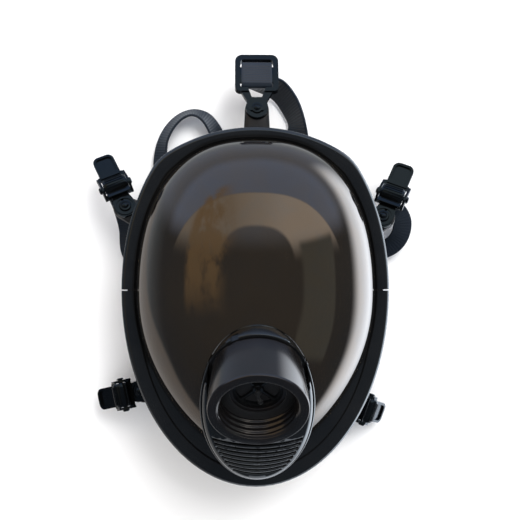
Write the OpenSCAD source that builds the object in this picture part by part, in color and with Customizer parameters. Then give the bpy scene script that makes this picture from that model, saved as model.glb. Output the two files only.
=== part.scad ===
// Full face respirator with a round filter port, lying on its face seal with the visor up.
// +Z is out of the visor, +Y towards the wearer's forehead. The floor it lies on is z = 0.

/* [Visor frame] */
// Width of the clamp frame
frame_w = 159; // [150:1:168]
// Height of the clamp frame, chin to forehead
frame_h = 210; // [200:1:220]
// Height of the frame's mid plane above the floor
frame_z = 58; // [54:1:62]
// How far the frame's sides sit behind its top and chin, from the mid plane
frame_bow = 4; // [2:0.5:5]
// Radius of the forehead arc that cuts the frame's oval
forehead_r = 100.5; // [98:0.5:110]

/* [Visor] */
// Height of the visor's crown above the frame's mid plane
visor_rise = 62; // [56:1:66]
// Thickness of the polycarbonate
visor_t = 2.4; // [2:0.1:3]

/* [Port] */
// Angle of the port's axis from the visor's axis, towards the chin
port_tilt = 38; // [36:1:40]
// Outer radius of the connector
port_r = 26; // [25:0.5:26.5]
// Wall radius of the filter thread's bore
thread_r = 20.2; // [20:0.1:20.4]
// Depth of the filter thread, mouth to shoulder
thread_depth = 13; // [12:0.5:14]

/* [Valve housing] */
// Angle of the oval housing from the visor's axis
housing_tilt = 20; // [19:1:21]
// Half width of the oval housing
housing_a = 30.4; // [30:0.2:31]
// Half height of the oval housing
housing_b = 44.6; // [44:0.2:45]
// Number of louvres in the exhalation cover
louvres = 8; // [6:1:8]

/* [Harness] */
// Width of the side straps
strap_w = 12; // [11:0.5:12.5]
// Width of the top strap
top_strap_w = 19; // [16:1:19]
// Thickness of the rubber straps
strap_t = 1.8; // [1.6:0.1:1.9]

/* [Hidden] */
$fn = 48;

mask_y = -26.8;                 // middle of the frame's oval, seen from the middle of the whole object
oval_y = 10;                    // height of the oval's widest line above the frame's middle
oval_a = frame_w / 2;
oval_chin = frame_h / 2 + 9.7;  // from the widest line to the chin
oval_top = frame_h / 2 + 7;     // from the widest line to the forehead, before the arc cuts it
forehead_y = frame_h / 2 + 0.5;
corner_sharpness = 80;
dome_inset = 9;                 // from the frame's outline to the dome's foot at the sides
dome_fullness = 2.15;           // 2 is an ellipsoid, more is fuller
gap = 0.2;                      // clearance between fitted pieces
angle_step = 5;
corner = 52.6;                  // angle of the outline's upper corners
turns = [for (run = [[0:angle_step:50], [corner], [55:angle_step:125], [180 - corner], [130:angle_step:355]]) each run];

black = [0.08, 0.09, 0.10];
rubber = [0.06, 0.065, 0.07];
smoke = [0.30, 0.24, 0.19, 0.6];
steel = [0.75, 0.76, 0.78];
silicone = [0.16, 0.17, 0.18];

// ---------- vectors, curves and lofts ----------
function unit(v) = v / norm(v);
function sum(list, i = 0) = i == len(list) - 1 ? list[i] : list[i] + sum(list, i + 1);
function turn_x(p, a) = [p.x, p.y * cos(a) - p.z * sin(a), p.y * sin(a) + p.z * cos(a)];

// Catmull-Rom curve through rows of numbers, with n steps between neighbours
function between(a, b, c, d, t) =
    0.5 * ((2 * b) + (c - a) * t + (2 * a - 5 * b + 4 * c - d) * t * t + (3 * b - a - 3 * c + d) * t * t * t);
function smooth(rows, n) = let (m = len(rows) - 1) [
    for (i = [0:m - 1]) for (k = [0:n - 1])
        between(rows[max(i - 1, 0)], rows[i], rows[i + 1], rows[min(i + 2, m)], k / n),
    rows[m]];

// Solid through equal rings of points, each anticlockwise seen from the last ring's side.
// Ends are closed flat, or with a fan about their middle, or the last ring meets the first.
module loft(rings, ends = "flat") {
    n = len(rings[0]);
    m = len(rings);
    runs = ends == "loop" ? m : m - 1;
    polyhedron(
        points = concat([for (r = rings) each r], ends == "fan" ? [sum(rings[0]) / n, sum(rings[m - 1]) / n] : []),
        faces = concat(
            [for (i = [0:runs - 1]) for (j = [0:n - 1]) each let (
                a = i * n + j, b = i * n + (j + 1) % n,
                c = ((i + 1) % m) * n + (j + 1) % n, d = ((i + 1) % m) * n + j)
                [[a, c, b], [a, d, c]]],
            ends == "flat" ? [[for (j = [0:n - 1]) j], [for (j = [n - 1:-1:0]) (m - 1) * n + j]] : [],
            ends == "fan" ? [for (j = [0:n - 1]) each [[j, (j + 1) % n, m * n],
                [(m - 1) * n + (j + 1) % n, (m - 1) * n + j, m * n + 1]]] : []),
        convexity = 8);
}

// Takes a tree of solids as one triangle mesh, for shells cut by other curved shells
module meshed() resize([0, 0, 0]) children();

// Flat ribbon along rows of [x, y, z, wx, wy, wz]: a point and the way its width points there
function ribbon_rings(rows, w, t, n) = let (path = smooth(rows, n), m = len(path) - 1,
    at = [for (p = path) [p[0], p[1], p[2]]]) [
    for (i = [0:m]) let (
        along = unit(at[min(i + 1, m)] - at[max(i - 1, 0)]),
        raw = [path[i][3], path[i][4], path[i][5]],
        across = unit(raw - (raw * along) * along),
        up = cross(across, along))
        [for (c = [[-1, -1], [-1, 1], [1, 1], [1, -1]]) at[i] + across * c.x * w / 2 + up * c.y * t / 2]];
module ribbon(rows, w, t, n = 3) loft(ribbon_rings(rows, w, t, n));

// ---------- places ----------
module in_mask() translate([0, mask_y, frame_z]) children();
port_mouth = [0, -48.2, 75];
housing_centre = [0, -48, 47];
module in_port() in_mask() translate(port_mouth) rotate([port_tilt, 0, 0]) children();
module in_housing() in_mask() translate(housing_centre) rotate([housing_tilt, 0, 0]) children();

// ---------- the frame's oval, in polar form about its widest line ----------
function oval_r(t, a, b) = 1 / sqrt(pow(cos(t) / a, 2) + pow(sin(t) / b, 2));
arc_drop = forehead_y - forehead_r - oval_y;
function arc_r(t) = arc_drop * sin(t) + sqrt(pow(forehead_r, 2) - pow(arc_drop * cos(t), 2));
function outline_r(t) = let (e = oval_r(t, oval_a, sin(t) > 0 ? oval_top : oval_chin))
    sin(t) > 0 ? pow(pow(e, -corner_sharpness) + pow(arc_r(t), -corner_sharpness), -1 / corner_sharpness) : e;
function bow(t) = -frame_bow * cos(2 * t);
// A point an inset inside the outline, at height z over the bowed frame
function frame_point(t, inset, z) =
    [(outline_r(t) - inset) * cos(t), (outline_r(t) - inset) * sin(t) + oval_y, z + bow(t)];

// ---------- visor ----------
dome_a = oval_a - dome_inset;
// The dome's foot is full at the forehead and leaner towards the chin
function dome_foot_r(t, grow) = let (
    a = dome_a + grow, b = 93.3 - 5.2 * sin(t) + grow, n = 2.05 + 0.3 * sin(t))
    pow(pow(abs(cos(t)) / a, n) + pow(abs(sin(t)) / b, n), -1 / n);
// Ring of the dome grown outwards by grow, at a share f of its foot's radius
function dome_ring(f, grow) = [for (t = turns) let (r = dome_foot_r(t, grow) * f)
    [r * cos(t), r * sin(t) + oval_y,
        bow(t) * pow(f, 3) + (visor_rise + grow) * pow(1 - pow(f, dome_fullness), 1 / dome_fullness)]];
dome_steps = 13;
function dome_share(i) = cos(88.5 * i / dome_steps);
module egg(grow) scale([(housing_a + grow) / housing_a, (housing_b + grow) / housing_b])
    polygon([for (t = [0:angle_step:355]) [housing_a * cos(t), housing_b * sin(t)]]);
module egg_prism(grow, low, high) translate([0, 0, low]) linear_extrude(high - low) egg(grow);

flange_top = 2.4;               // the visor's flange lies between these heights over the frame's plane
flange_low = 0.2;
channel_inset = 3.2;            // depth of the frame's outer wall
housing_hole = 0.25;            // clearance round the housing where it passes through the visor
module visor() color(smoke) in_mask() meshed() difference() {
    loft(concat(
        [for (i = [dome_steps:-1:1]) dome_ring(dome_share(i), -visor_t)],
        [for (p = [[-visor_t, flange_low], [0, flange_low], [0, flange_top - gap], [0.01, flange_top - gap]])
            [for (t = turns) let (foot = outline_r(t) - dome_foot_r(t, p[0] < 0 ? p[0] : 0))
                frame_point(t, p[0] == 0 ? channel_inset + gap : foot, p[1])]],
        [for (i = [1:dome_steps]) dome_ring(dome_share(i), 0)]), "fan");
    translate(housing_centre) rotate([housing_tilt, 0, 0]) egg_prism(housing_hole, -60, 50);
}

// ---------- clamp frame ----------
// Channel section: [inset, height], open towards the visor
face_edge = 7.2;                // where the outer face ends and the inner tier starts
lip_edge = 8.8;
channel = [[0, 3.6], [0.5, 5], [1.8, 5.9], [4.5, 6], [7, 5.3], [face_edge, 4.4], [lip_edge, 3.9],
    [lip_edge, flange_top], [channel_inset, flange_top], [channel_inset, -7], [6.4, -7], [6.4, -9.2],
    [1, -9.2], [0, -8.2]];
split_gap = 0.25;               // angle left open at each end of a half
// The inner tier reaches to the dome's foot, and the outer face is no wider than face_max
face_max = 9.6;
function lip(t) = outline_r(t) - dome_foot_r(t, 0) - 0.35;
function section_inset(t, n) = n <= channel_inset || n == 6.4 ? n : n == lip_edge ? lip(t) :
    channel_inset + (n - channel_inset) * (min(lip(t) - 0.6, face_max) - channel_inset) / (face_edge - channel_inset);
module channel_arc(from, to) loft([for (i = [0:48]) let (t = from + (to - from) * i / 48)
    [for (j = [len(channel) - 1:-1:0]) frame_point(t, section_inset(t, channel[j][0]), channel[j][1])]]);
lug_x = oval_a - 3.5;           // centre of the joining lugs
lug_z = -13.6 - frame_bow;
lug_len = 6;
screw_r = 2;
module joining_lugs(way) for (side = [-1, 1]) difference() {
    translate([side * lug_x - 3, way > 0 ? oval_y + 0.4 : oval_y - 0.4 - lug_len, lug_z - 4])
        cube([6, lug_len, 9.2]);
    translate([side * lug_x, oval_y, lug_z]) rotate([90, 0, 0])
        cylinder(r = screw_r + 0.15, h = 30, center = true);
}
module frame_half(from, to, way) color(black) in_mask() meshed() union() {
    channel_arc(from, to);
    joining_lugs(way);
}
module frame_upper() frame_half(split_gap, 180 - split_gap, 1);
module frame_lower() frame_half(180 + split_gap, 360 - split_gap, -1);
module frame_screws() color(steel) in_mask() for (side = [-1, 1])
    translate([side * lug_x, oval_y + lug_len + 0.45, lug_z]) rotate([-90, 0, 0]) {
        translate([0, 0, -17.5]) cylinder(r = screw_r, h = 17.6);
        difference() {
            cylinder(r = 3, h = 2.2);
            translate([-0.5, -4, 1.2]) cube([1, 8, 2]);
        }
    }
module frame_nuts() color(steel) in_mask() for (side = [-1, 1])
    translate([side * lug_x, oval_y - lug_len - 0.45, lug_z]) rotate([90, 0, 0]) difference() {
        rotate([0, 0, 30]) cylinder(r = 3.4, h = 2.8, $fn = 6);
        translate([0, 0, -1]) cylinder(r = screw_r + 0.05, h = 5, $fn = 48);
    }

// ---------- face seal ----------
// Sections of the wall, from the bead in the channel down, and of the lip that folds in at its foot
wall_section = [[3.4, -0.2], [3.4, -6.8], [7, -6.8], [7, -12], [7.3, -30], [8.6, -41], [10.7, -39.6],
    [9.7, -28], [9.7, -12], [9.7, -0.2]];
lip_section = [[8.6, -41], [11, -48], [15, -52.6], [19.5, -53.6], [24, -50], [27.6, -43.6], [27, -42.9],
    [23.2, -47.6], [19.3, -50.9], [15.8, -50], [12.9, -46], [10.7, -39.6]];
seal_depth = 53.6;
function floor_gap(t) = 2.9 + 4 * pow(sin(t), 4);
function seal_reach(t) = (frame_z - floor_gap(t) + bow(t)) / seal_depth;
module seal_band(section) color(rubber) in_mask() loft([for (t = turns)
    [for (p = section) frame_point(t, p[0], p[1] < -8 ? p[1] * seal_reach(t) : p[1])]], "loop");
module face_seal() seal_band(wall_section);
module seal_lip() seal_band(lip_section);

// ---------- lugs, rivets and buckles ----------
// Each row: rivet position, yaw of the buckle, its droop towards the floor, its roll,
// yaw of the rubber lug, distance from the rivet back to the seal's wall
top_place = [[1, 93.5, 40], 90, 20, 0, 90, 22.2];
upper_right = [[79.3, 27.5, 38], 64, 16, -16, 28, 13.6];
upper_left = [[-80, 33.5, 38], 118, 20, 14, 152, 15.7];
lower_right = [[61, -89.5, 38], -24, 52, -4, -36, 6.4];
lower_left = [[-70, -79.5, 38], 198, 38, 8, 212, 9.9];
places = [top_place, upper_right, upper_left, lower_right, lower_left];
module at_buckle(place) translate(place[0]) rotate([0, 0, place[1]]) rotate([0, place[2], 0])
    rotate([place[3], 0, 0]) children();
rivet_r = 2;
lug_t = 2.4;
lug_r = 7.4;
washer_t = 0.8;
running = 0.06;                 // radial clearance of a turning fit

module harness_lugs() color(rubber) for (place = places) difference() {
    hull() {
        at_buckle(place) translate([0, 0, -lug_t]) cylinder(r = lug_r, h = lug_t, $fn = 32);
        translate(place[0]) rotate([0, 0, place[4]]) translate([-place[5] - 1.3, 0, -2])
            cube([1.2, 17, 4], center = true);
    }
    at_buckle(place) {
        translate([0, 0, -10]) cylinder(r = rivet_r + 0.05, h = 20);
        translate([0, 0, -lug_t - 12]) cylinder(r = 5.3, h = 12);
        translate([0, 0, 0.02]) cylinder(r = 11.5, h = 12);
    }
}
module lug_rivets() color(black) for (place = places) at_buckle(place) rotate_extrude() polygon([
    [0, -lug_t - washer_t - 1.4], [2.6, -lug_t - washer_t - 1.2], [3.1, -lug_t - washer_t - 0.05],
    [rivet_r, -lug_t - washer_t - 0.05], [rivet_r, 2.15], [3.6, 2.15], [3.4, 3], [2.4, 3.7], [0, 4]]);
module lug_washers() color(steel) for (place = places) at_buckle(place)
    translate([0, 0, -lug_t - washer_t]) difference() {
        cylinder(r = 5, h = washer_t - 0.02);
        translate([0, 0, -1]) cylinder(r = rivet_r + 0.02, h = 3);
    }

// Buckle of a side strap. +X from the rivet to the thumb tab, +Y along the bar, +Z up off the lug.
bar_at = [15.5, 0, 1.5];
bar_r = 1.4;
base_t = 1.8;
cheek = 7.7;                    // inner face of a cheek from the middle
cheek_t = 1.5;
tab_end = 38;
tab_w = 13.4;
strap_r = bar_r + 0.3;          // inner radius of the strap round its bar
module side_buckle(place) color(black) at_buckle(place) difference() {
    union() {
        translate([0, 0, 0.1]) cylinder(r = 6.6, h = base_t);
        translate([0, 0, 0.1 + base_t - 0.4]) difference() {
            cylinder(r = 6.6, h = 1);
            translate([0, 0, -1]) cylinder(r = 5, h = 3);
        }
        translate([0, -5, 0.1]) cube([10.6, 10, base_t - 0.1]);
        translate([8, -cheek - cheek_t, 0]) cube([2.8, 2 * (cheek + cheek_t), base_t]);
        translate([21.6, -cheek - cheek_t, 0]) cube([2.6, 2 * (cheek + cheek_t), base_t]);
        for (side = [-1, 1]) translate([8, side * (cheek + cheek_t / 2) - cheek_t / 2, -1])
            cube([16.2, cheek_t, 5]);
        translate([22, -tab_w / 2, 0]) cube([tab_end - 22 - tab_w / 4, tab_w, 1.4]);
        translate([tab_end - tab_w / 2, 0, 0]) cylinder(r = tab_w / 2, h = 1.4);
        for (side = [-1, 1]) translate([24, side * (tab_w / 2 - 0.7) - 0.7, 0])
            cube([tab_end - tab_w / 2 - 24, 1.4, 2.6]);
        intersection() {
            translate([tab_end - tab_w / 2, 0, 0]) difference() {
                cylinder(r = tab_w / 2, h = 2.6);
                translate([0, 0, -1]) cylinder(r = tab_w / 2 - 1.4, h = 5);
            }
            translate([tab_end - tab_w / 2, -10, 0]) cube([10, 20, 5]);
        }
    }
    translate([0, 0, -1]) cylinder(r = rivet_r + running, h = 4);
    translate(bar_at) rotate([90, 0, 0]) cylinder(r = bar_r + 0.02, h = 40, center = true);
    translate([3.6, 0, -1]) translate([0.9, 0, 0]) cylinder(r = 0.8, h = 5);
}
module buckle_bar(place) color(black) at_buckle(place) translate(bar_at) rotate([90, 0, 0]) {
    cylinder(r = bar_r, h = 2 * (cheek + cheek_t) + 0.6, center = true);
    for (side = [-1, 1]) translate([0, 0, side * (cheek + cheek_t + 0.7)])
        cylinder(r = 2.1, h = 1.2, center = true);
}
lever_in = strap_r + strap_t + 0.35;
lever_out = lever_in + 1.6;
lever_ear = strap_w / 2 + 0.35; // inner face of a lever's ear from the middle
module wedge_of(from, to, r, h) linear_extrude(h, center = true)
    polygon(concat([[0, 0]], [for (i = [0:8]) r * [cos(from + (to - from) * i / 8), sin(from + (to - from) * i / 8)]]));
module buckle_lever(place) color(black) at_buckle(place) translate(bar_at) rotate([90, 0, 0]) difference() {
    union() {
        intersection() {
            difference() {
                cylinder(r = lever_out, h = 2 * (cheek - 0.3), center = true);
                cylinder(r = lever_in, h = 40, center = true);
            }
            wedge_of(28, 166, 12, 30);
        }
        for (a = [52, 72, 92, 112]) rotate([0, 0, a]) translate([lever_out - 0.4, -0.6, -5.5])
            cube([1.1, 1.2, 11]);
        rotate([0, 0, 163]) translate([lever_in + 0.1, -1.6, -(cheek - 0.3)])
            cube([4.6, 1.6, 2 * (cheek - 0.3)]);
        for (side = [-1, 1]) translate([0, 0, side * (lever_ear + cheek - 0.3) / 2]) {
            cylinder(r = 2.6, h = cheek - 0.3 - lever_ear, center = true);
            intersection() {
                cylinder(r = lever_in + 0.6, h = cheek - 0.3 - lever_ear, center = true);
                wedge_of(50, 150, 12, 30);
            }
        }
    }
    cylinder(r = bar_r + running, h = 40, center = true);
}
// End of a side strap round its bar: up out of the harness side, over, and down as the free tail
module strap_end(place) color(rubber) at_buckle(place) translate(bar_at) rotate([90, 0, 0])
    linear_extrude(strap_w, center = true) {
        difference() {
            circle(r = strap_r + strap_t);
            circle(r = strap_r);
            translate([-10, -20]) square(20);
        }
        translate([-strap_r - strap_t, -6.5]) square([strap_t, 6.5]);
        translate([strap_r, -9]) square([strap_t, 9]);
    }
module upper_right_buckle() side_buckle(upper_right);
module upper_right_bar() buckle_bar(upper_right);
module upper_right_lever() buckle_lever(upper_right);
module upper_right_strap_end() strap_end(upper_right);
module upper_left_buckle() side_buckle(upper_left);
module upper_left_bar() buckle_bar(upper_left);
module upper_left_lever() buckle_lever(upper_left);
module upper_left_strap_end() strap_end(upper_left);
module lower_right_buckle() side_buckle(lower_right);
module lower_right_bar() buckle_bar(lower_right);
module lower_right_lever() buckle_lever(lower_right);
module lower_right_strap_end() strap_end(lower_right);
module lower_left_buckle() side_buckle(lower_left);
module lower_left_bar() buckle_bar(lower_left);
module lower_left_lever() buckle_lever(lower_left);
module lower_left_strap_end() strap_end(lower_left);

// Loop buckle of the top strap, with a flat bar across its window
top_frame_w = 27;
module top_buckle_frame() color(black) at_buckle(top_place) difference() {
    union() {
        translate([0, 0, 0.1]) cylinder(r = 6.9, h = 2);
        translate([0, 0, 0.1]) linear_extrude(3) polygon([[2, -6.3], [12, -10.5], [12, 10.5], [2, 6.3]]);
        difference() {
            union() {
                translate([11, -top_frame_w / 2 + 2.5, 0.1]) cube([26, top_frame_w - 5, 4]);
                translate([13.5, -top_frame_w / 2, 0.1]) cube([21, top_frame_w, 4]);
                for (x = [13.5, 34.5], side = [-1, 1]) translate([x, side * (top_frame_w / 2 - 2.5), 0.1])
                    cylinder(r = 2.5, h = 4);
            }
            translate([13.6, -10.2, -1]) cube([20, 20.4, 8]);
        }
        translate([17.4, -11, 1.1]) cube([11.6, 22, 1.8]);
    }
    translate([0, 0, -1]) cylinder(r = rivet_r + running, h = 6);
    translate([0, 0, 2.1]) cylinder(r = 4.6, h = 3);
    translate([0, 0, -1]) linear_extrude(8) polygon([[7.2, -3], [13.8, -5.2], [13.8, 5.2], [7.2, 3]]);
}
module top_strap_loop() color(rubber) at_buckle(top_place) rotate([90, 0, 0])
    linear_extrude(top_strap_w, center = true) {
        difference() {
            union() {
                translate([17, 2]) circle(r = 1.2 + strap_t);
                translate([29.4, 2]) circle(r = 1.2 + strap_t);
                translate([17, 0.8 - strap_t]) square([12.4, 2.4 + 2 * strap_t]);
            }
            translate([17, 2]) circle(r = 1.2);
            translate([29.4, 2]) circle(r = 1.2);
            translate([17, 0.8]) square([12.4, 2.4]);
        }
        translate([20, -6]) square([strap_t, 6]);
    }

// ---------- head harness, folded flat under the mask ----------
pad_t = 2.2;
module harness_pad() color(rubber) difference() {
    union() {
        translate([-35, -18, 0]) cube([70, 40, pad_t]);
        translate([-25, -28, 0]) cube([50, 60, pad_t]);
        for (x = [-25, 25], y = [-18, 22]) translate([x, y, 0]) cylinder(r = 10, h = pad_t);
    }
    for (x = [-20, 0, 20], y = [-14, 2, 18]) translate([x, y, -1]) cylinder(r = 4, h = 5);
}
flat = strap_t / 2 + 0.25;
module strap_top() color(rubber) ribbon([
    [1, 111.2, 22, 1, 0, 0], [5, 114.5, 14.5, 0.8, 0.2, 0.5], [15, 112, 10.6, 0.5, 0.35, 0.79],
    [23, 102, 9.8, 0.5, 0.25, 0.83], [27.8, 89, 9.8, 0.5, 0.1, 0.86], [27, 76, 6.4, 0.85, 0, 0.5],
    [22, 62, 2, 1, -0.15, 0.08], [17, 48, flat, 1, -0.1, 0], [15, 33.8, flat, 1, 0, 0]], top_strap_w, strap_t);
module strap_upper_right() color(rubber) ribbon([
    [85.7, 36.1, 27.7, -0.897, 0.353, -0.265], [88, 34.6, 21.6, -0.95, 0.25, -0.15],
    [92.6, 31.5, 18.4, -0.95, -0.1, 0.1], [95.6, 25.5, 16.2, -0.99, 0.05, 0.05], [95, 18, 13.2, -0.93, 0.35, -0.1],
    [91.5, 11.8, 9.6, -0.78, 0.6, -0.2], [85, 8, 5.6, -0.5, 0.83, -0.22], [76, 6.5, 2.2, -0.25, 0.95, 0],
    [62, 6.5, flat, -0.1, 1, 0],
    [48, 6, flat, 0, 1, 0], [35.6, 6, flat, 0, 1, 0]], strap_w, strap_t);
module strap_upper_left() color(rubber) ribbon([
    [-86.1, 41.2, 26.8, -0.896, -0.382, 0.227], [-87.3, 34, 17, -0.95, -0.2, -0.1], [-87, 22, 10, -0.9, 0.1, -0.5],
    [-83, 7, 6, -0.85, -0.45, -0.3], [-75, -3, 2.6, -0.5, -0.86, 0], [-62, -6, flat, 0.1, -1, 0],
    [-52, 4, flat, 0.85, -0.5, 0], [-51, 24, flat, 1, -0.1, 0], [-56, 42, 3, 0.97, 0.1, 0.2],
    [-61, 60, 7.4, 0.8, 0.2, 0.55], [-60.5, 75, 9, 0.65, 0.1, 0.75], [-56, 86, 9.8, 0.5, -0.2, 0.82],
    [-48.5, 94, 10, 0.3, -0.35, 0.87], [-40, 97, 10, 0, -0.45, 0.89], [-32, 94, 9.6, -0.35, -0.5, 0.8],
    [-26, 86, 8, -0.6, -0.45, 0.68], [-21.5, 74, 4.4, -0.85, -0.3, 0.4], [-18, 58, 1.6, -1, -0.1, 0.04],
    [-16, 46, flat, -1, 0, 0], [-16, 32.6, flat, -1, 0, 0]], strap_w, strap_t);
module strap_lower_right() color(rubber) ribbon([
    [62.7, -90.9, 23.3, 0.356, 0.934, -0.043], [59.3, -88.5, 14.5, 0.42, 0.9, 0], [56, -85.3, 6.3, 0.5, 0.86, 0],
    [50, -80, 1.4, 0.6, 0.8, 0], [40, -68, flat, 0.8, 0.6, 0], [27, -50, flat, 0.9, 0.4, 0],
    [20, -39, flat, 1, 0.1, 0], [18.4, -30.4, flat, 1, 0, 0]], strap_w, strap_t);
module strap_lower_left() color(rubber) ribbon([
    [-75.1, -82.3, 24.3, 0.225, -0.968, 0.11], [-72.3, -81, 15.5, 0.3, -0.95, 0.04], [-68, -78, 7, 0.42, -0.9, 0],
    [-59, -71.5, 1.4, 0.55, -0.83, 0], [-44, -59.5, flat, 0.7, -0.7, 0], [-30, -47, flat, 0.85, -0.5, 0],
    [-20, -39, flat, 1, -0.1, 0], [-18.4, -30.4, flat, 1, 0, 0]], strap_w, strap_t);

// ---------- port, along its own axis with the mouth at z = 0 ----------
hole_r = 12.7;
groove = 28;                    // depth of the groove between connector and collar
collar_h = 8;
neck_r = 23.4;
neck_end = -38.4;
module port_connector() color(black) in_port() rotate_extrude($fn = 96) polygon([
    [thread_r + 0.9, 0], [port_r - 0.8, 0], [port_r, -0.8], [port_r, -groove], [neck_r, -groove],
    [neck_r, neck_end], [14.6, neck_end], [14.6, -thread_depth - 2.2], [hole_r, -thread_depth - 2.2],
    [hole_r, -thread_depth], [thread_r + 0.6, -thread_depth], [thread_r + 0.6, 1 - thread_depth],
    [thread_r, 1 - thread_depth], [thread_r, -0.9]]);
module port_gasket() color(rubber) in_port() translate([0, 0, -thread_depth]) difference() {
    cylinder(r = thread_r + 0.4, h = 0.95);
    translate([0, 0, -1]) cylinder(r = 14.5, h = 3);
}
module port_collar() color(black) intersection() {
    in_port() difference() {
        translate([0, 0, -groove - collar_h]) cylinder(r = port_r + 0.2, h = collar_h - 0.4, $fn = 96);
        translate([0, 0, -groove - collar_h - 1]) cylinder(r = neck_r + 0.05, h = collar_h + 2, $fn = 96);
        for (a = [45, 135]) rotate([0, 0, a]) translate([port_r - 0.6, -2.5, -groove - 4.6]) cube([3, 5, 5]);
    }
    in_housing() egg_prism(-0.15, -30, 20);
}
grid_top = -thread_depth - 2.3;
module inhalation_valve_grid() color(black) in_port() difference() {
    union() {
        difference() {
            translate([0, 0, grid_top - 2]) cylinder(r = 14.5, h = 2);
            translate([0, 0, grid_top - 3]) cylinder(r = 11.6, h = 4);
        }
        for (a = [45, 135]) rotate([0, 0, a]) translate([-12, -0.9, grid_top - 1.9]) cube([24, 1.8, 1.9]);
        translate([0, 0, grid_top - 1.9]) cylinder(r = 3, h = 2.8);
    }
    translate([0, 0, grid_top - 5]) cylinder(r = 1.1, h = 12);
}
module inhalation_valve_disc() color(silicone) in_port() rotate_extrude() polygon([
    [0, grid_top - 3.1], [13.2, grid_top - 3.1], [13.4, grid_top - 2.1], [1, grid_top - 2.1],
    [1, grid_top + 2.2], [1.5, grid_top + 2.4], [1.5, grid_top + 2.9], [0.9, grid_top + 3.15],
    [0, grid_top + 3.15]]);

// ---------- valve housing, across its own plane with z out of the mask ----------
exhale_at = [0, -25.5, 0];
exhale_r = 14.4;
spigot_r = 16;
spigot_low = -23;
wall = 2.2;
module in_port_of_housing() rotate([-housing_tilt, 0, 0]) translate(port_mouth - housing_centre)
    rotate([port_tilt, 0, 0]) children();
module valve_housing() color(black) in_housing() difference() {
    union() {
        difference() {
            egg_prism(0, -22, 0);
            egg_prism(-wall, -23, -wall);
        }
        intersection() {
            in_port_of_housing() translate([0, 0, -groove - collar_h - 2.8]) cylinder(r = port_r + 2.6, h = 50);
            egg_prism(-1, -40, 0);
        }
        translate([0, exhale_at.y, spigot_low]) cylinder(r = spigot_r, h = -spigot_low);
    }
    in_port_of_housing() {
        translate([0, 0, -groove - collar_h - 0.2]) cylinder(r = port_r + 0.5, h = 70, $fn = 96);
        translate([0, 0, -60]) cylinder(r = neck_r + 0.15, h = 70, $fn = 96);
    }
    translate([0, exhale_at.y, -2.5]) cylinder(r = exhale_r + 0.05, h = 5);
    translate([0, exhale_at.y, -40]) cylinder(r = 12.8, h = 45);
    translate([0, exhale_at.y, -40]) difference() {
        cylinder(r = 19.5, h = 23.4);
        translate([0, 0, -1]) cylinder(r = spigot_r, h = 30);
    }
}
// Whether a point over the egg grown by grow is outside the visor's inner face
function outside_visor(t, grow, h) = let (
    p = housing_centre + turn_x([(housing_a + grow) * cos(t), (housing_b + grow) * sin(t), h], housing_tilt),
    a = atan2(p.y - oval_y, p.x),
    f = norm([p.x, p.y - oval_y]) / dome_foot_r(a, -visor_t))
    f >= 1 || p.z > bow(a) * pow(f, 3)
        + (visor_rise - visor_t) * pow(1 - pow(f, dome_fullness), 1 / dome_fullness);
// Height of the visor's inner face over that egg, found by halving
function under_visor(t, grow, low = -40, high = 5, n = 12) = let (middle = (low + high) / 2)
    n == 0 ? low : outside_visor(t, grow, middle) ? under_visor(t, grow, low, middle, n - 1)
        : under_visor(t, grow, middle, high, n - 1);
visor_clearance = 0.35;
module egg_band(inner, outer, drop, t_band) loft([for (t = [0:angle_step:355])
    let (z_in = under_visor(t, inner) - visor_clearance, z_out = under_visor(t, outer) - visor_clearance) [
        for (p = [[inner, z_in - drop - t_band], [inner, z_in - drop], [outer, z_out - drop],
            [outer, z_out - drop - t_band]])
            [(housing_a + p[0]) * cos(t), (housing_b + p[0]) * sin(t), p[1]]]], "loop");
module housing_gasket() color(rubber) in_housing() egg_band(0.3, 2.8, 0.45, 1.35);
module housing_clamp_ring() color(black) in_housing() egg_band(0.3, 4.6, 1.95, 2.6);

cover_profile = [[0, 0.2], [0.1, 4], [-0.9, 7.4], [-3.6, 10.6], [-8.6, 13], [-16, 14.4]];
module cover_solid(shrink) loft([for (p = cover_profile) let (g = p[0] - shrink)
    [for (t = [0:angle_step:355])
        [(housing_a + g) * cos(t), (housing_b + g) * sin(t), p[1] - (p[1] > 1 ? shrink : 1.5 * shrink)]]]);
module exhalation_cover() color(black) in_housing() meshed() difference() {
    cover_solid(0);
    cover_solid(1.8);
    in_port_of_housing() translate([0, 0, -70]) cylinder(r = port_r + 0.7, h = 140, $fn = 72);
    translate([-50, 14, -10]) cube([100, 60, 60]);
    for (i = [0:louvres - 1]) let (y = -17.5 - 22 * i / louvres)
        translate([0, y, 13]) rotate([-24, 0, 0])
            cube([2 * (housing_a * sqrt(1 - pow(y / housing_b, 2)) - 7), 1.3, 14], center = true);
}
module exhalation_valve_seat() color(black) in_housing() translate(exhale_at) difference() {
    union() {
        difference() {
            translate([0, 0, -2.4]) cylinder(r = exhale_r, h = 3.2);
            translate([0, 0, -4]) cylinder(r = 11.5, h = 8);
        }
        for (a = [0, 90]) rotate([0, 0, a]) translate([-12, -0.8, -2.3]) cube([24, 1.6, 2.2]);
        translate([0, 0, -2.3]) cylinder(r = 2.6, h = 2.9);
    }
    translate([0, 0, -5]) cylinder(r = 1.1, h = 10);
}
module exhalation_valve_disc() color(silicone) in_housing() translate(exhale_at) rotate_extrude() polygon([
    [0, 1.8], [13, 1.8], [13.2, 0.9], [1, 0.9], [1, -4.2], [1.5, -4.6], [1.5, -5.4], [0.8, -6], [0, -6]]);

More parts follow.
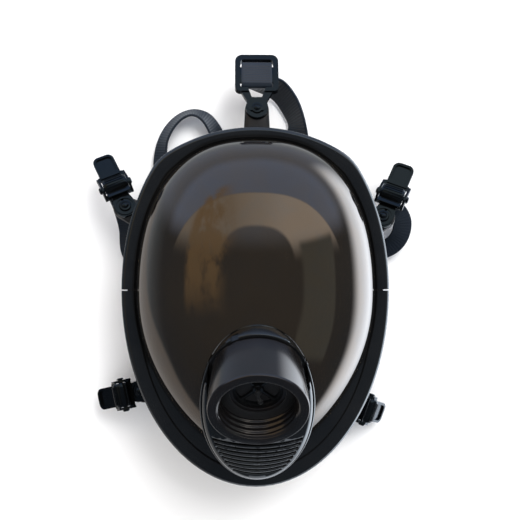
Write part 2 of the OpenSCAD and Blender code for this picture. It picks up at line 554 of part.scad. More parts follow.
// ---------- nose cup ----------
// Each row: middle y and z in the mask, half width, half height, tilt
cup_rows = [[-66.2, 22.3, 18, 18, 20], [-64.3, 17.2, 18, 18, 20], [-61.5, 10.5, 21, 20.5, 18],
    [-56, 1, 29, 27, 14], [-49, -12, 36, 34, 8], [-44, -26, 40, 36.5, 3], [-41, -37, 40, 33.5, 0],
    [-41, -41, 37, 30.5, 0]];
function cup_point(r, t, shrink) = turn_x([(r[2] - shrink) * cos(t), (r[3] - shrink) * sin(t), 0], r[4])
    + [0, r[0], r[1]];
cup_t = 1.7;
valve_side = [26.5, -37, -1];
valve_aim = [0, 52, 24];
module at_cup_valve(side) in_mask() scale([side, 1, 1]) translate(valve_side) rotate(valve_aim) children();
module nose_cup() color(silicone) meshed() difference() {
    in_mask() loft([for (t = [0:6:354]) concat(
        [for (i = [0:len(cup_rows) - 1]) cup_point(cup_rows[i], t, 0)],
        [for (i = [len(cup_rows) - 1:-1:0]) cup_point(cup_rows[i], t, cup_t)])], "loop");
    for (side = [-1, 1]) at_cup_valve(side) cylinder(r = 9.1, h = 30, center = true, $fn = 40);
}
module nose_cup_clamp() color(steel) in_housing() translate([0, exhale_at.y, -22]) difference() {
    cylinder(r = 19.1, h = 4);
    translate([0, 0, -1]) cylinder(r = 18.2, h = 6);
}
module nose_cup_valve_seats() color(black) for (side = [-1, 1]) at_cup_valve(side) difference() {
    union() {
        translate([0, 0, -3.4]) cylinder(r = 8.9, h = 7);
        translate([0, 0, 2.2]) cylinder(r = 10.6, h = 1.4);
    }
    translate([0, 0, -5]) cylinder(r = 8.1, h = 6);
    difference() {
        translate([0, 0, -5]) cylinder(r = 6.6, h = 12);
        for (a = [0, 90]) rotate([0, 0, a]) translate([-8, -0.8, 1]) cube([16, 1.6, 1.8]);
        translate([0, 0, 1]) cylinder(r = 2, h = 1.8);
    }
    translate([0, 0, -5]) cylinder(r = 0.9, h = 12);
}
module cup_valve_disc(side) color(silicone) at_cup_valve(side) rotate_extrude() polygon([
    [0, 0.1], [7.6, 0.1], [7.6, 0.9], [0.8, 0.9], [0.8, 4.4], [1.3, 4.8], [1.3, 5.6], [0.7, 6], [0, 6]]);
module nose_cup_valve_disc_right() cup_valve_disc(1);
module nose_cup_valve_disc_left() cup_valve_disc(-1);

// ---------- assembly ----------
visor();
frame_upper();
frame_lower();
frame_screws();
frame_nuts();
face_seal();
seal_lip();
harness_lugs();
lug_rivets();
lug_washers();
top_buckle_frame();
top_strap_loop();
upper_right_buckle();
upper_right_bar();
upper_right_lever();
upper_right_strap_end();
upper_left_buckle();
upper_left_bar();
upper_left_lever();
upper_left_strap_end();
lower_right_buckle();
lower_right_bar();
lower_right_lever();
lower_right_strap_end();
lower_left_buckle();
lower_left_bar();
lower_left_lever();
lower_left_strap_end();
harness_pad();
strap_top();
strap_upper_right();
strap_upper_left();
strap_lower_right();
strap_lower_left();
port_connector();
port_gasket();
port_collar();
inhalation_valve_grid();
inhalation_valve_disc();
valve_housing();
housing_gasket();
housing_clamp_ring();
exhalation_cover();
exhalation_valve_seat();
exhalation_valve_disc();
nose_cup();
nose_cup_clamp();
nose_cup_valve_seats();
nose_cup_valve_disc_right();
nose_cup_valve_disc_left();
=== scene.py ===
"""Looks of the full face respirator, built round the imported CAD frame.

Lengths are in millimetres until a mesh is made.
"""

import math

import bmesh
import bpy
from mathutils import Matrix, Vector
from mathutils.geometry import tessellate_polygon


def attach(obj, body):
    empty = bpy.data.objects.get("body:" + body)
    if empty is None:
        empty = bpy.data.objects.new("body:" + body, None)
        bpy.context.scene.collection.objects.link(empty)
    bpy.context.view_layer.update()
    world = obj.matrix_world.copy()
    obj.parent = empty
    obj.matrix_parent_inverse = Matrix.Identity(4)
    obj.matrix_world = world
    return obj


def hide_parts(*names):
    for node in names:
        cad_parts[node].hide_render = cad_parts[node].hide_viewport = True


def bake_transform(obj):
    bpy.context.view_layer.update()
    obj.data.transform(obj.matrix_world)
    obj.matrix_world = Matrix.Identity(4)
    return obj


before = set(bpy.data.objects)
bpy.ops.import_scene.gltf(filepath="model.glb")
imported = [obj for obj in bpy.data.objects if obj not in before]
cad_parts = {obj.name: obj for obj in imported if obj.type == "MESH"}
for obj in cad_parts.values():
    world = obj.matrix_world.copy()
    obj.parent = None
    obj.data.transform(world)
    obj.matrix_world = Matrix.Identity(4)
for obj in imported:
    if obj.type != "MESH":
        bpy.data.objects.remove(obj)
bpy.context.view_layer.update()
MM = 0.001


# ---------- places ----------
def turn(axis, degrees):
    return Matrix.Rotation(math.radians(degrees), 4, axis)


def shift(x, y, z):
    return Matrix.Translation((x, y, z))


def cosd(a):
    return math.cos(math.radians(a))


def sind(a):
    return math.sin(math.radians(a))


MASK_Z = 58
MASK = shift(0, -26.8, MASK_Z)
PORT = MASK @ shift(0, -48.2, 75) @ turn("X", 38)
HOUSING = MASK @ shift(0, -48, 47) @ turn("X", 20)
HOUSING_A, HOUSING_B = 30.4, 44.6


# ---------- the frame's oval and the visor's dome, as in the CAD ----------
OVAL_Y, OVAL_A, OVAL_CHIN, OVAL_TOP = 10, 79.5, 114.7, 112
ARC_R, ARC_DROP, SHARP, BOW = 100.5, -5, 80, 4
DOME_A, DOME_B, CHIN_B, FULL, RISE = 70.5, 93.3, 5.2, 2.15, 62
FOOT_N, FOOT_N_TOP = 2.05, 0.3  # how square the foot of the dome is, and how much more at the top


def outline_r(t):
    """Radius of the oval at an angle: an ellipse that a flatter arc cuts at the forehead."""
    s, c = sind(t), cosd(t)
    e = 1 / math.hypot(c / OVAL_A, s / (OVAL_TOP if s > 0 else OVAL_CHIN))
    if s <= 0:
        return e
    arc = ARC_DROP * s + math.sqrt(ARC_R**2 - (ARC_DROP * c) ** 2)
    return (e**-SHARP + arc**-SHARP) ** (-1 / SHARP)


def bow(t):
    """Height that the bowed frame adds at an angle."""
    return -BOW * cosd(2 * t)


def frame_point(t, inset, z):
    """Point inside the oval by an inset, at a height over the bowed frame."""
    r = outline_r(t) - inset
    return Vector((r * cosd(t), r * sind(t) + OVAL_Y, z + bow(t)))


def foot_r(t, grow=0):
    """Radius of the dome's foot at an angle."""
    a, b, n = DOME_A + grow, DOME_B - CHIN_B * sind(t) + grow, FOOT_N + FOOT_N_TOP * sind(t)
    return (abs(cosd(t) / a) ** n + abs(sind(t) / b) ** n) ** (-1 / n)


def dome_point(t, f, grow=0):
    """Point of the dome at the share f of its foot's radius."""
    r = foot_r(t, grow) * f
    z = bow(t) * f**3 + (RISE + grow) * max(0.0, 1 - f**FULL) ** (1 / FULL)
    return Vector((r * cosd(t), r * sind(t) + OVAL_Y, z))


# ---------- mesh helpers ----------
def steps(a, b, n):
    return [a + (b - a) * i / n for i in range(n + 1)]


def smooth(rows, n):
    """Catmull-Rom curve through rows of numbers."""
    m = len(rows) - 1
    out = []
    for i in range(m):
        a, b, c, d = (rows[max(i - 1, 0)], rows[i], rows[i + 1], rows[min(i + 2, m)])
        for k in range(n):
            t = k / n
            out.append([0.5 * (2 * q + (r - p) * t + (2 * p - 5 * q + 4 * r - s) * t * t
                               + (3 * q - p - 3 * r + s) * t**3)
                        for p, q, r, s in zip(a, b, c, d)])
    out.append(list(rows[m]))
    return out


def loft(rings, ends="fan"):
    """Quads through equal rings of points. ends: fan, loop or open."""
    n, m = len(rings[0]), len(rings)
    verts = [Vector(p) for r in rings for p in r]
    faces = []
    for i in range(m if ends == "loop" else m - 1):
        for j in range(n):
            k, i2 = (j + 1) % n, (i + 1) % m
            faces.append((i * n + j, i * n + k, i2 * n + k, i2 * n + j))
    if ends == "fan":
        faces.append(tuple(range(n - 1, -1, -1)))
        faces.append(tuple((m - 1) * n + j for j in range(n)))
    return verts, faces


def revolve(profile, segs, start=0, sweep=360):
    """Turns a closed profile of (radius, z) round Z. Points on the axis are shared."""
    full = sweep == 360
    rings = []
    for i in range(segs if full else segs + 1):
        a = start + sweep * i / segs
        rings.append([Vector((r * cosd(a), r * sind(a), z)) for r, z in profile])
    return loft(rings, "loop" if full else "fan")


STRAIGHT = 1.56  # half angle in radians from which a corner counts as straight


def rounded(points, radius, n=5):
    """Closed outline with its corners rounded. radius is one number or one per point."""
    out = []
    m = len(points)
    for i in range(m):
        p, a, b = Vector(points[i]), Vector(points[i - 1]), Vector(points[(i + 1) % m])
        r = radius[i] if isinstance(radius, (list, tuple)) else radius
        if r <= 0:
            out.append(p)
            continue
        u, v = (a - p).normalized(), (b - p).normalized()
        half = u.angle(v) / 2
        if half > STRAIGHT:
            out.append(p)
            continue
        d = min(r / math.tan(half), (a - p).length * 0.49, (b - p).length * 0.49)
        r = d * math.tan(half)
        c = p + (u + v).normalized() * (r / math.sin(half))
        s, e = p + u * d - c, p + v * d - c
        total = s.angle_signed(e)
        for k in range(n + 1):
            w = -total * k / n
            out.append(c + Vector((s.x * math.cos(w) - s.y * math.sin(w),
                                   s.x * math.sin(w) + s.y * math.cos(w))))
    return out


def circle(r, n, x=0, y=0):
    return [Vector((x + r * cosd(360 * i / n), y + r * sind(360 * i / n))) for i in range(n)]


def plate(loops, low, high):
    """Flat plate: loops[0] is the outline and the rest are holes."""
    pts = [p for loop in loops for p in loop]
    tris = tessellate_polygon([[Vector((p.x, p.y, 0)) for p in loop] for loop in loops])
    n = len(pts)
    verts = [Vector((p.x, p.y, high)) for p in pts] + [Vector((p.x, p.y, low)) for p in pts]
    faces = [tuple(t) for t in tris] + [tuple(i + n for i in reversed(t)) for t in tris]
    base = 0
    for loop in loops:
        m = len(loop)
        for j in range(m):
            a, b = base + j, base + (j + 1) % m
            faces.append((a, b, b + n, a + n))
        base += m
    return verts, faces


def moved(geometry, matrix):
    verts, faces = geometry
    return [matrix @ v for v in verts], faces


def joined(*parts):
    verts, faces = [], []
    for vs, fs in parts:
        base = len(verts)
        verts += vs
        faces += [tuple(i + base for i in f) for f in fs]
    return verts, faces


def linked(name, mesh, bm, material, sharp):
    """New object in the scene from a mesh and its bmesh, with outward normals and smooth shading."""
    bmesh.ops.recalc_face_normals(bm, faces=bm.faces)
    bm.to_mesh(mesh)
    bm.free()
    mesh.polygons.foreach_set("use_smooth", [True] * len(mesh.polygons))
    mesh.set_sharp_from_angle(angle=math.radians(sharp))
    mesh.materials.append(material)
    obj = bpy.data.objects.new(name, mesh)
    bpy.context.scene.collection.objects.link(obj)
    return obj


WELD, FLAT_ANGLE = 2e-6, 0.002  # metres and radians within which points and faces are joined


def make(name, geometry, matrix, material, sharp=35):
    """Object from geometry in millimetres that the matrix puts in place."""
    verts, faces = geometry
    mesh = bpy.data.meshes.new(name)
    mesh.from_pydata([(matrix @ Vector(v)) * MM for v in verts], [], faces)
    bm = bmesh.new()
    bm.from_mesh(mesh)
    bmesh.ops.remove_doubles(bm, verts=bm.verts, dist=WELD)
    bmesh.ops.dissolve_limit(bm, angle_limit=FLAT_ANGLE, verts=bm.verts, edges=bm.edges)
    return linked(name, mesh, bm, material, sharp)


def apply(obj):
    """Bakes the object's modifiers into its mesh."""
    bpy.context.view_layer.update()
    graph = bpy.context.evaluated_depsgraph_get()
    mesh = bpy.data.meshes.new_from_object(obj.evaluated_get(graph))
    obj.modifiers.clear()
    obj.data = mesh
    return obj


def bevel(obj, width, segments, angle):
    mod = obj.modifiers.new("bevel", "BEVEL")
    mod.width, mod.segments, mod.limit_method = width * MM, segments, "ANGLE"
    mod.angle_limit = math.radians(angle)
    mod.harden_normals = True
    return obj


def cut(obj, geometry, matrix):
    """Takes another solid away from the object."""
    tool = make("cutter", geometry, matrix, obj.data.materials[0])
    mod = obj.modifiers.new("cut", "BOOLEAN")
    mod.operation, mod.solver, mod.object = "DIFFERENCE", "EXACT", tool
    apply(obj)
    bpy.data.objects.remove(tool)
    return obj


def piece(obj, body, slot, *nodes):
    """Puts an object on its body, in place of the CAD nodes. The slot argument is not used."""
    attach(obj, body)
    if nodes:
        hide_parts(*nodes)
    return obj


# ---------- materials ----------
class Nodes:
    """Small helper that wires shader nodes."""

    def __init__(self, tree):
        self.tree = tree

    def add(self, kind, **values):
        node = self.tree.nodes.new(kind)
        for key, value in values.items():
            if key in node.inputs:
                socket = node.inputs[key]
                if isinstance(value, bpy.types.NodeSocket):
                    self.tree.links.new(value, socket)
                else:
                    socket.default_value = value
            else:
                setattr(node, key, value)
        return node

    def link(self, a, b):
        self.tree.links.new(a, b)

    def math(self, op, a, b):
        node = self.tree.nodes.new("ShaderNodeMath")
        node.operation = op
        for i, v in enumerate((a, b)):
            if isinstance(v, bpy.types.NodeSocket):
                self.tree.links.new(v, node.inputs[i])
            else:
                node.inputs[i].default_value = v
        return node.outputs[0]

    def ramp(self, fac, *stops):
        node = self.tree.nodes.new("ShaderNodeValToRGB")
        self.tree.links.new(fac, node.inputs[0])
        band = node.color_ramp
        while len(band.elements) < len(stops):
            band.elements.new(0.5)
        for e, (pos, col) in zip(band.elements, stops):
            e.position = pos
            e.color = (*col, 1)
        return node.outputs[0]


def noise(n, coord, scale, detail, rough=0.5):
    return n.add("ShaderNodeTexNoise", Vector=coord, Scale=scale, Detail=detail, Roughness=rough).outputs[0]


def material(name, **shader):
    mat = bpy.data.materials.new(name)
    mat.use_nodes = True
    tree = mat.node_tree
    bsdf = tree.nodes["Principled BSDF"]
    for key, value in shader.items():
        bsdf.inputs[key].default_value = value
    n = Nodes(tree)
    coord = n.add("ShaderNodeTexCoord").outputs["Object"]
    return mat, n, bsdf, coord


def gloss_black(name, tone, rough, coat=0.4, warm=0.0, level=0.5, tint=(0.68, 0.88, 1.0, 1)):
    """Moulded black plastic: faint cloudiness, fine dust-like bump and uneven gloss."""
    mat, n, bsdf, coord = material(name, **{
        "Coat Weight": coat, "Coat Roughness": 0.05, "IOR": 1.5, "Specular IOR Level": level,
        "Specular Tint": tint})
    cloud = noise(n, coord, 45, 4, 0.6)
    n.link(n.ramp(cloud, (0.3, (tone * 0.8, tone * 0.85, tone * 0.95)),
                  (0.7, (tone * (1.25 + warm), tone * 1.25, tone * 1.3))), bsdf.inputs["Base Color"])
    fine = noise(n, coord, 900, 3, 0.6)
    n.link(n.math("ADD", n.math("MULTIPLY", cloud, 0.10), rough - 0.04), bsdf.inputs["Roughness"])
    bump = n.add("ShaderNodeBump", Strength=0.05, Distance=0.0002, Height=fine)
    n.link(bump.outputs[0], bsdf.inputs["Normal"])
    return mat


def satin_rubber(name, tone, rough=0.42, grain=700, bump=0.12, cool=1.0):
    """Dull rubber with a fine grain. cool turns its colour towards blue."""
    mat, n, bsdf, coord = material(name, **{
        "Specular IOR Level": 0.45, "Sheen Weight": 0.08, "Sheen Roughness": 0.4})
    cloud = noise(n, coord, 30, 5, 0.6)
    n.link(n.ramp(cloud, (0.3, (tone * 0.75 / cool, tone * 0.8, tone * 0.88 * cool)),
                  (0.72, (tone * 1.35 / cool, tone * 1.38, tone * 1.5 * cool))), bsdf.inputs["Base Color"])
    n.link(n.math("ADD", n.math("MULTIPLY", cloud, 0.16), rough - 0.08), bsdf.inputs["Roughness"])
    fine = noise(n, coord, grain, 4, 0.65)
    relief = n.add("ShaderNodeBump", Strength=bump, Distance=0.0003, Height=fine)
    n.link(relief.outputs[0], bsdf.inputs["Normal"])
    return mat


def plain_steel(name, tone, rough):
    mat, n, bsdf, coord = material(name, Metallic=1.0)
    cloud = noise(n, coord, 300, 4, 0.6)
    n.link(n.ramp(cloud, (0.3, (tone * 0.9,) * 3), (0.7, (tone * 1.1,) * 3)), bsdf.inputs["Base Color"])
    n.link(n.math("ADD", n.math("MULTIPLY", cloud, 0.2), rough - 0.1), bsdf.inputs["Roughness"])
    return mat


BLACK = gloss_black("gloss_black", tone=0.0055, rough=0.09)
TUBE = gloss_black("satin_black_tube", tone=0.004, rough=0.15, coat=0.3, warm=0.25,
                   tint=(1.0, 0.97, 0.94, 1))
BUCKLE = gloss_black("buckle_black", tone=0.002, rough=0.15, coat=0.06, level=0.3,
                     tint=(0.5, 0.78, 1.0, 1))
RUBBER = satin_rubber("seal_rubber", tone=0.008)
STRAP = satin_rubber("strap_rubber", tone=0.013, rough=0.30, cool=1.35)
SILICONE = satin_rubber("silicone", tone=0.012, rough=0.35, grain=300, bump=0.04)
STEEL = plain_steel("steel", tone=0.42, rough=0.25)


def smoked():
    """Tinted polycarbonate with a mirror-like hard coat."""
    mat, n, bsdf, coord = material("smoked_visor", **{
        "IOR": 1.8, "Coat Weight": 0.3, "Coat IOR": 1.7, "Coat Roughness": 0.01,
        "Transmission Weight": 0.25, "Specular Tint": (0.95, 0.74, 0.55, 1)})
    cloud = noise(n, coord, 14, 3, 0.5)
    n.link(n.ramp(cloud, (0.3, (0.010, 0.0075, 0.0048)), (0.7, (0.015, 0.011, 0.007))),
           bsdf.inputs["Base Color"])
    n.link(n.math("ADD", n.math("MULTIPLY", cloud, 0.015), 0.012), bsdf.inputs["Roughness"])
    ripple = noise(n, coord, 22, 2, 0.4)
    relief = n.add("ShaderNodeBump", Strength=0.03, Distance=0.002, Height=ripple)
    n.link(relief.outputs[0], bsdf.inputs["Normal"])
    return mat


SMOKE = smoked()


# ---------- visor ----------
VISOR_T = 2.4
FLANGE_INSET, FLANGE_LOW, FLANGE_HIGH = 3.4, 0.2, 2.2
OPENING_GAP = 0.25
CORNERS = {52.5: 52.6, 127.5: 127.4}  # the fine steps meet the outline's upper corners
FINE = [CORNERS.get(t, t) for t in steps(0, 357.5, 143)]


def dome_level(p, grow):
    """1 on the dome grown by grow, less inside it and more outside."""
    r = math.hypot(p.x, p.y - OVAL_Y)
    t = math.degrees(math.atan2(p.y - OVAL_Y, p.x))
    f = r / foot_r(t, grow)
    z = max(p.z - bow(t) * f**3, 0) / (RISE + grow)
    return z**FULL + f**FULL


def dome_normal(p, grow):
    h = 0.02
    return Vector([dome_level(p + d, grow) - dome_level(p - d, grow)
                   for d in (Vector((h, 0, 0)), Vector((0, h, 0)), Vector((0, 0, h)))]).normalized()


def smooth_dome(obj):
    """Gives the lens the exact normals of its dome, so that its reflections run true."""
    near = 0.004
    mesh = obj.data
    back = MASK.inverted()
    place = [back @ (v.co / MM) for v in mesh.vertices]
    exact = {}
    for grow, way in ((0, 1), (-VISOR_T, -1)):
        for i, p in enumerate(place):
            if abs(dome_level(p, grow) - 1) < near:
                exact[i, way] = dome_normal(p, grow) * way
    normals = [Vector(n.vector) for n in mesh.corner_normals]
    for poly in mesh.polygons:
        for way in (1, -1):
            if all((v, way) in exact for v in poly.vertices):
                for loop, v in zip(poly.loop_indices, poly.vertices):
                    normals[loop] = exact[v, way]
    mesh.normals_split_custom_set(normals)


def egg_rings(rows, n=120):
    """Rings of the housing's egg for rows of growth and height. A height may depend on the angle."""
    turns = [360 * i / n for i in range(n)]
    return [[Vector(((HOUSING_A + g) * cosd(t), (HOUSING_B + g) * sind(t), z(t) if callable(z) else z))
             for t in turns] for g, z in rows]


def lens():
    shares = [cosd(89 * i / 40) for i in range(1, 41)]
    rings = [[dome_point(t, f, -VISOR_T) for t in FINE] for f in reversed(shares)]
    for grow, inset, z in ((-VISOR_T, 0, FLANGE_LOW), (0, FLANGE_INSET, FLANGE_LOW),
                           (0, FLANGE_INSET, FLANGE_HIGH), (0, 0, FLANGE_HIGH)):
        rings.append([frame_point(t, inset or outline_r(t) - foot_r(t, grow), z) for t in FINE])
    rings += [[dome_point(t, f) for t in FINE] for f in shares]
    obj = make("visor_lens", loft(rings), MASK, SMOKE, 40)
    cut(obj, loft(egg_rings([(OPENING_GAP, -60), (OPENING_GAP, 50)])), HOUSING)
    smooth_dome(obj)
    piece(obj, "mask", "smoked_visor", "visor")


lens()


# ---------- clamp frame ----------
LIP, FACE, WALL, FACE_MAX = 8.8, 7.2, 3.2, 9.6  # insets from the oval
DOME_GAP, TIER, TIER_LOW = 0.35, 0.6, 2.3
SPLIT = 0.25  # degrees that each half stops short of the split line
LUG_X, LUG_HALF, LUG_NEAR, LUG_FAR, LUG_LOW, LUG_HIGH = 76, 3, 0.4, 6.4, -21.6, -12.4
CHANNEL = rounded([(0, -8.2), (0, 3.9), (1.7, 5.9), (4.6, 5.95), (6.9, 5.3), (FACE, 4.3), (LIP, 3.9),
                   (LIP, 2.4), (WALL, 2.4), (WALL, -7), (6.4, -7), (6.4, -9.2), (1, -9.2)],
                  [0.5, 1.6, 1.6, 2.5, 0.6, 0.3, 0.3, 0.1, 0.2, 0.2, 0.3, 0.5, 0.6])


def channel_inset(t, p):
    """Inset of a section point where the inner tier reaches to the dome's foot."""
    if p.x <= WALL or p.y < TIER_LOW:
        return p.x
    lip = outline_r(t) - foot_r(t) - DOME_GAP
    face = min(lip - TIER, FACE_MAX)
    if p.x <= FACE:
        return WALL + (p.x - WALL) * (face - WALL) / (FACE - WALL)
    return face + (p.x - FACE) * (lip - face) / (LIP - FACE)


def box(x0, x1, y0, y1, z0, z1):
    return loft([[Vector(p) for p in ((x0, y0, z), (x1, y0, z), (x1, y1, z), (x0, y1, z))] for z in (z0, z1)])


def frame_half(name, start, end, way):
    """Half of the clamp frame with the two lugs that its screws pass. way is 1 for the upper half."""
    turns = sorted({start, end} | {t for t in FINE if start < t < end})
    rings = [[frame_point(t, channel_inset(t, p), p.y) for p in CHANNEL] for t in turns]
    low, high = sorted((way * LUG_NEAR, way * LUG_FAR))
    lugs = [box(side * LUG_X - LUG_HALF, side * LUG_X + LUG_HALF, OVAL_Y + low, OVAL_Y + high,
                LUG_LOW, LUG_HIGH) for side in (-1, 1)]
    obj = make(name, joined(loft(rings), *lugs), MASK, BLACK, 32)
    apply(bevel(obj, 0.5, 2, 50))
    piece(obj, "mask", "black_shell", name)


frame_half("frame_upper", SPLIT, 180 - SPLIT, 1)
frame_half("frame_lower", 180 + SPLIT, 360 - SPLIT, -1)

# ---------- face seal ----------
SEAL_DEPTH, SEAL_GAP, SEAL_ARCH = 53.6, 2.9, 4
BEAD_LOW = -8  # the section above it keeps its height, and the rest reaches down to the floor
GROOVE_TOP, GROOVE_END, GROOVE_PITCH, GROOVE_DEPTH = -13, -30, 8.5, 0.35
SEAL = rounded([(3.4, -0.2), (3.4, -6.8), (7, -6.8), (7, -12), (7.3, -30), (8.6, -41), (11, -48),
                (15, -52.6), (19.5, -SEAL_DEPTH), (24, -50), (27.6, -43.6), (27, -42.9), (23.2, -47.6),
                (19.3, -50.9), (15.8, -50), (12.9, -46), (10.7, -39.6), (9.7, -28), (9.7, -12),
                (9.7, -0.2)],
               [0.3, 0.3, 0.3, 0.5, 20, 14, 10, 8, 8, 10, 0.4, 0.4, 10, 8, 6, 8, 10, 14, 0.5, 0.3], 4)


def seal_ring(t):
    """The seal's section at an angle."""
    reach = (MASK_Z - SEAL_GAP - SEAL_ARCH * sind(t) ** 4 + bow(t)) / SEAL_DEPTH
    ring = []
    for p in SEAL:
        inset, z = p.x, p.y
        if inset < 9 and GROOVE_END < z < GROOVE_TOP:  # two shallow flexing grooves round the outer wall
            inset += GROOVE_DEPTH * (1 - math.cos((z - GROOVE_TOP) * math.tau / GROOVE_PITCH)) / 2
        ring.append(frame_point(t, inset, z * reach if z < BEAD_LOW else z))
    return ring


piece(make("face_seal", loft([seal_ring(t) for t in FINE], "loop"), MASK, RUBBER, 40),
      "mask", "seal_rubber", "face_seal", "seal_lip")

# ---------- lugs, rivets and buckles ----------
# each place: rivet, turns about Z, Y and X, then the direction and distance of the lug's root
TOP = ((1, 93.5, 40), 90, 20, 0, 90, 22.2)
PLACES = {
    "upper_right": ((79.3, 27.5, 38), 64, 16, -16, 28, 13.6),
    "upper_left": ((-80, 33.5, 38), 118, 20, 14, 152, 15.7),
    "lower_right": ((61, -89.5, 38), -24, 52, -4, -36, 6.4),
    "lower_left": ((-70, -79.5, 38), 198, 38, 8, 212, 9.9),
}
LUG_T, LUG_R, RIVET_R, RIVET_GAP = 2.4, 7.4, 2, 0.06


def at_buckle(place):
    return shift(*place[0]) @ turn("Z", place[1]) @ turn("Y", place[2]) @ turn("X", place[3])


def hull(name, points, material):
    """Object from the convex hull of points."""
    mesh = bpy.data.meshes.new(name)
    bm = bmesh.new()
    for p in points:
        bm.verts.new(p * MM)
    out = bmesh.ops.convex_hull(bm, input=bm.verts)
    inner = {g for g in out["geom_unused"] + out["geom_interior"] if isinstance(g, bmesh.types.BMVert)}
    bmesh.ops.delete(bm, geom=[v for v in bm.verts if v in inner], context="VERTS")
    bmesh.ops.dissolve_limit(bm, angle_limit=0.01, verts=bm.verts, edges=bm.edges)
    return linked(name, mesh, bm, material, 35)


RIVET = [(0, -4.6), (2.6, -4.4), (3.1, -3.25), (RIVET_R, -3.25), (RIVET_R, 2.15), (3.6, 2.15),
         (3.65, 2.5), (3.3, 3.1), (2.6, 3.2), (2.45, 3.0), (2.2, 3.0), (2.0, 3.3), (1.4, 3.75),
         (0.7, 3.95), (0, 4)]


def harness_lug(name, place):
    """Rubber lug from the seal's wall to the rivet that a buckle turns on."""
    there = at_buckle(place)
    round_end = [there @ Vector((LUG_R * cosd(a), LUG_R * sind(a), z))
                 for a in range(0, 360, 10) for z in (0, -LUG_T)]
    root = shift(*place[0]) @ turn("Z", place[4])
    foot = [root @ Vector((-place[5] + x, y, z)) for x in (-1.9, -0.7) for y in (-8.5, 8.5) for z in (-4, 0)]
    lug = hull(name + "_lug", round_end + foot, RUBBER)
    apply(bevel(lug, 0.5, 3, 30))
    piece(lug, "mask", "seal_rubber")
    piece(make(name + "_rivet", revolve(RIVET, 48), there, BUCKLE, 30), "mask", "buckle_black")


harness_lug("top", TOP)
for key, place in PLACES.items():
    harness_lug(key, place)
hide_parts("harness_lugs")
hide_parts("lug_rivets")

BAR_AT = (15.5, 0, 1.5)
CHEEK, CHEEK_T, TAB_END, TAB_W, TAB_RIM = 7.7, 1.5, 38, 13.4, 1.5
LEVER_IN, LEVER_OUT = 3.85, 5.45


def outline(points, radius, n=6):
    return rounded(points, radius, n)


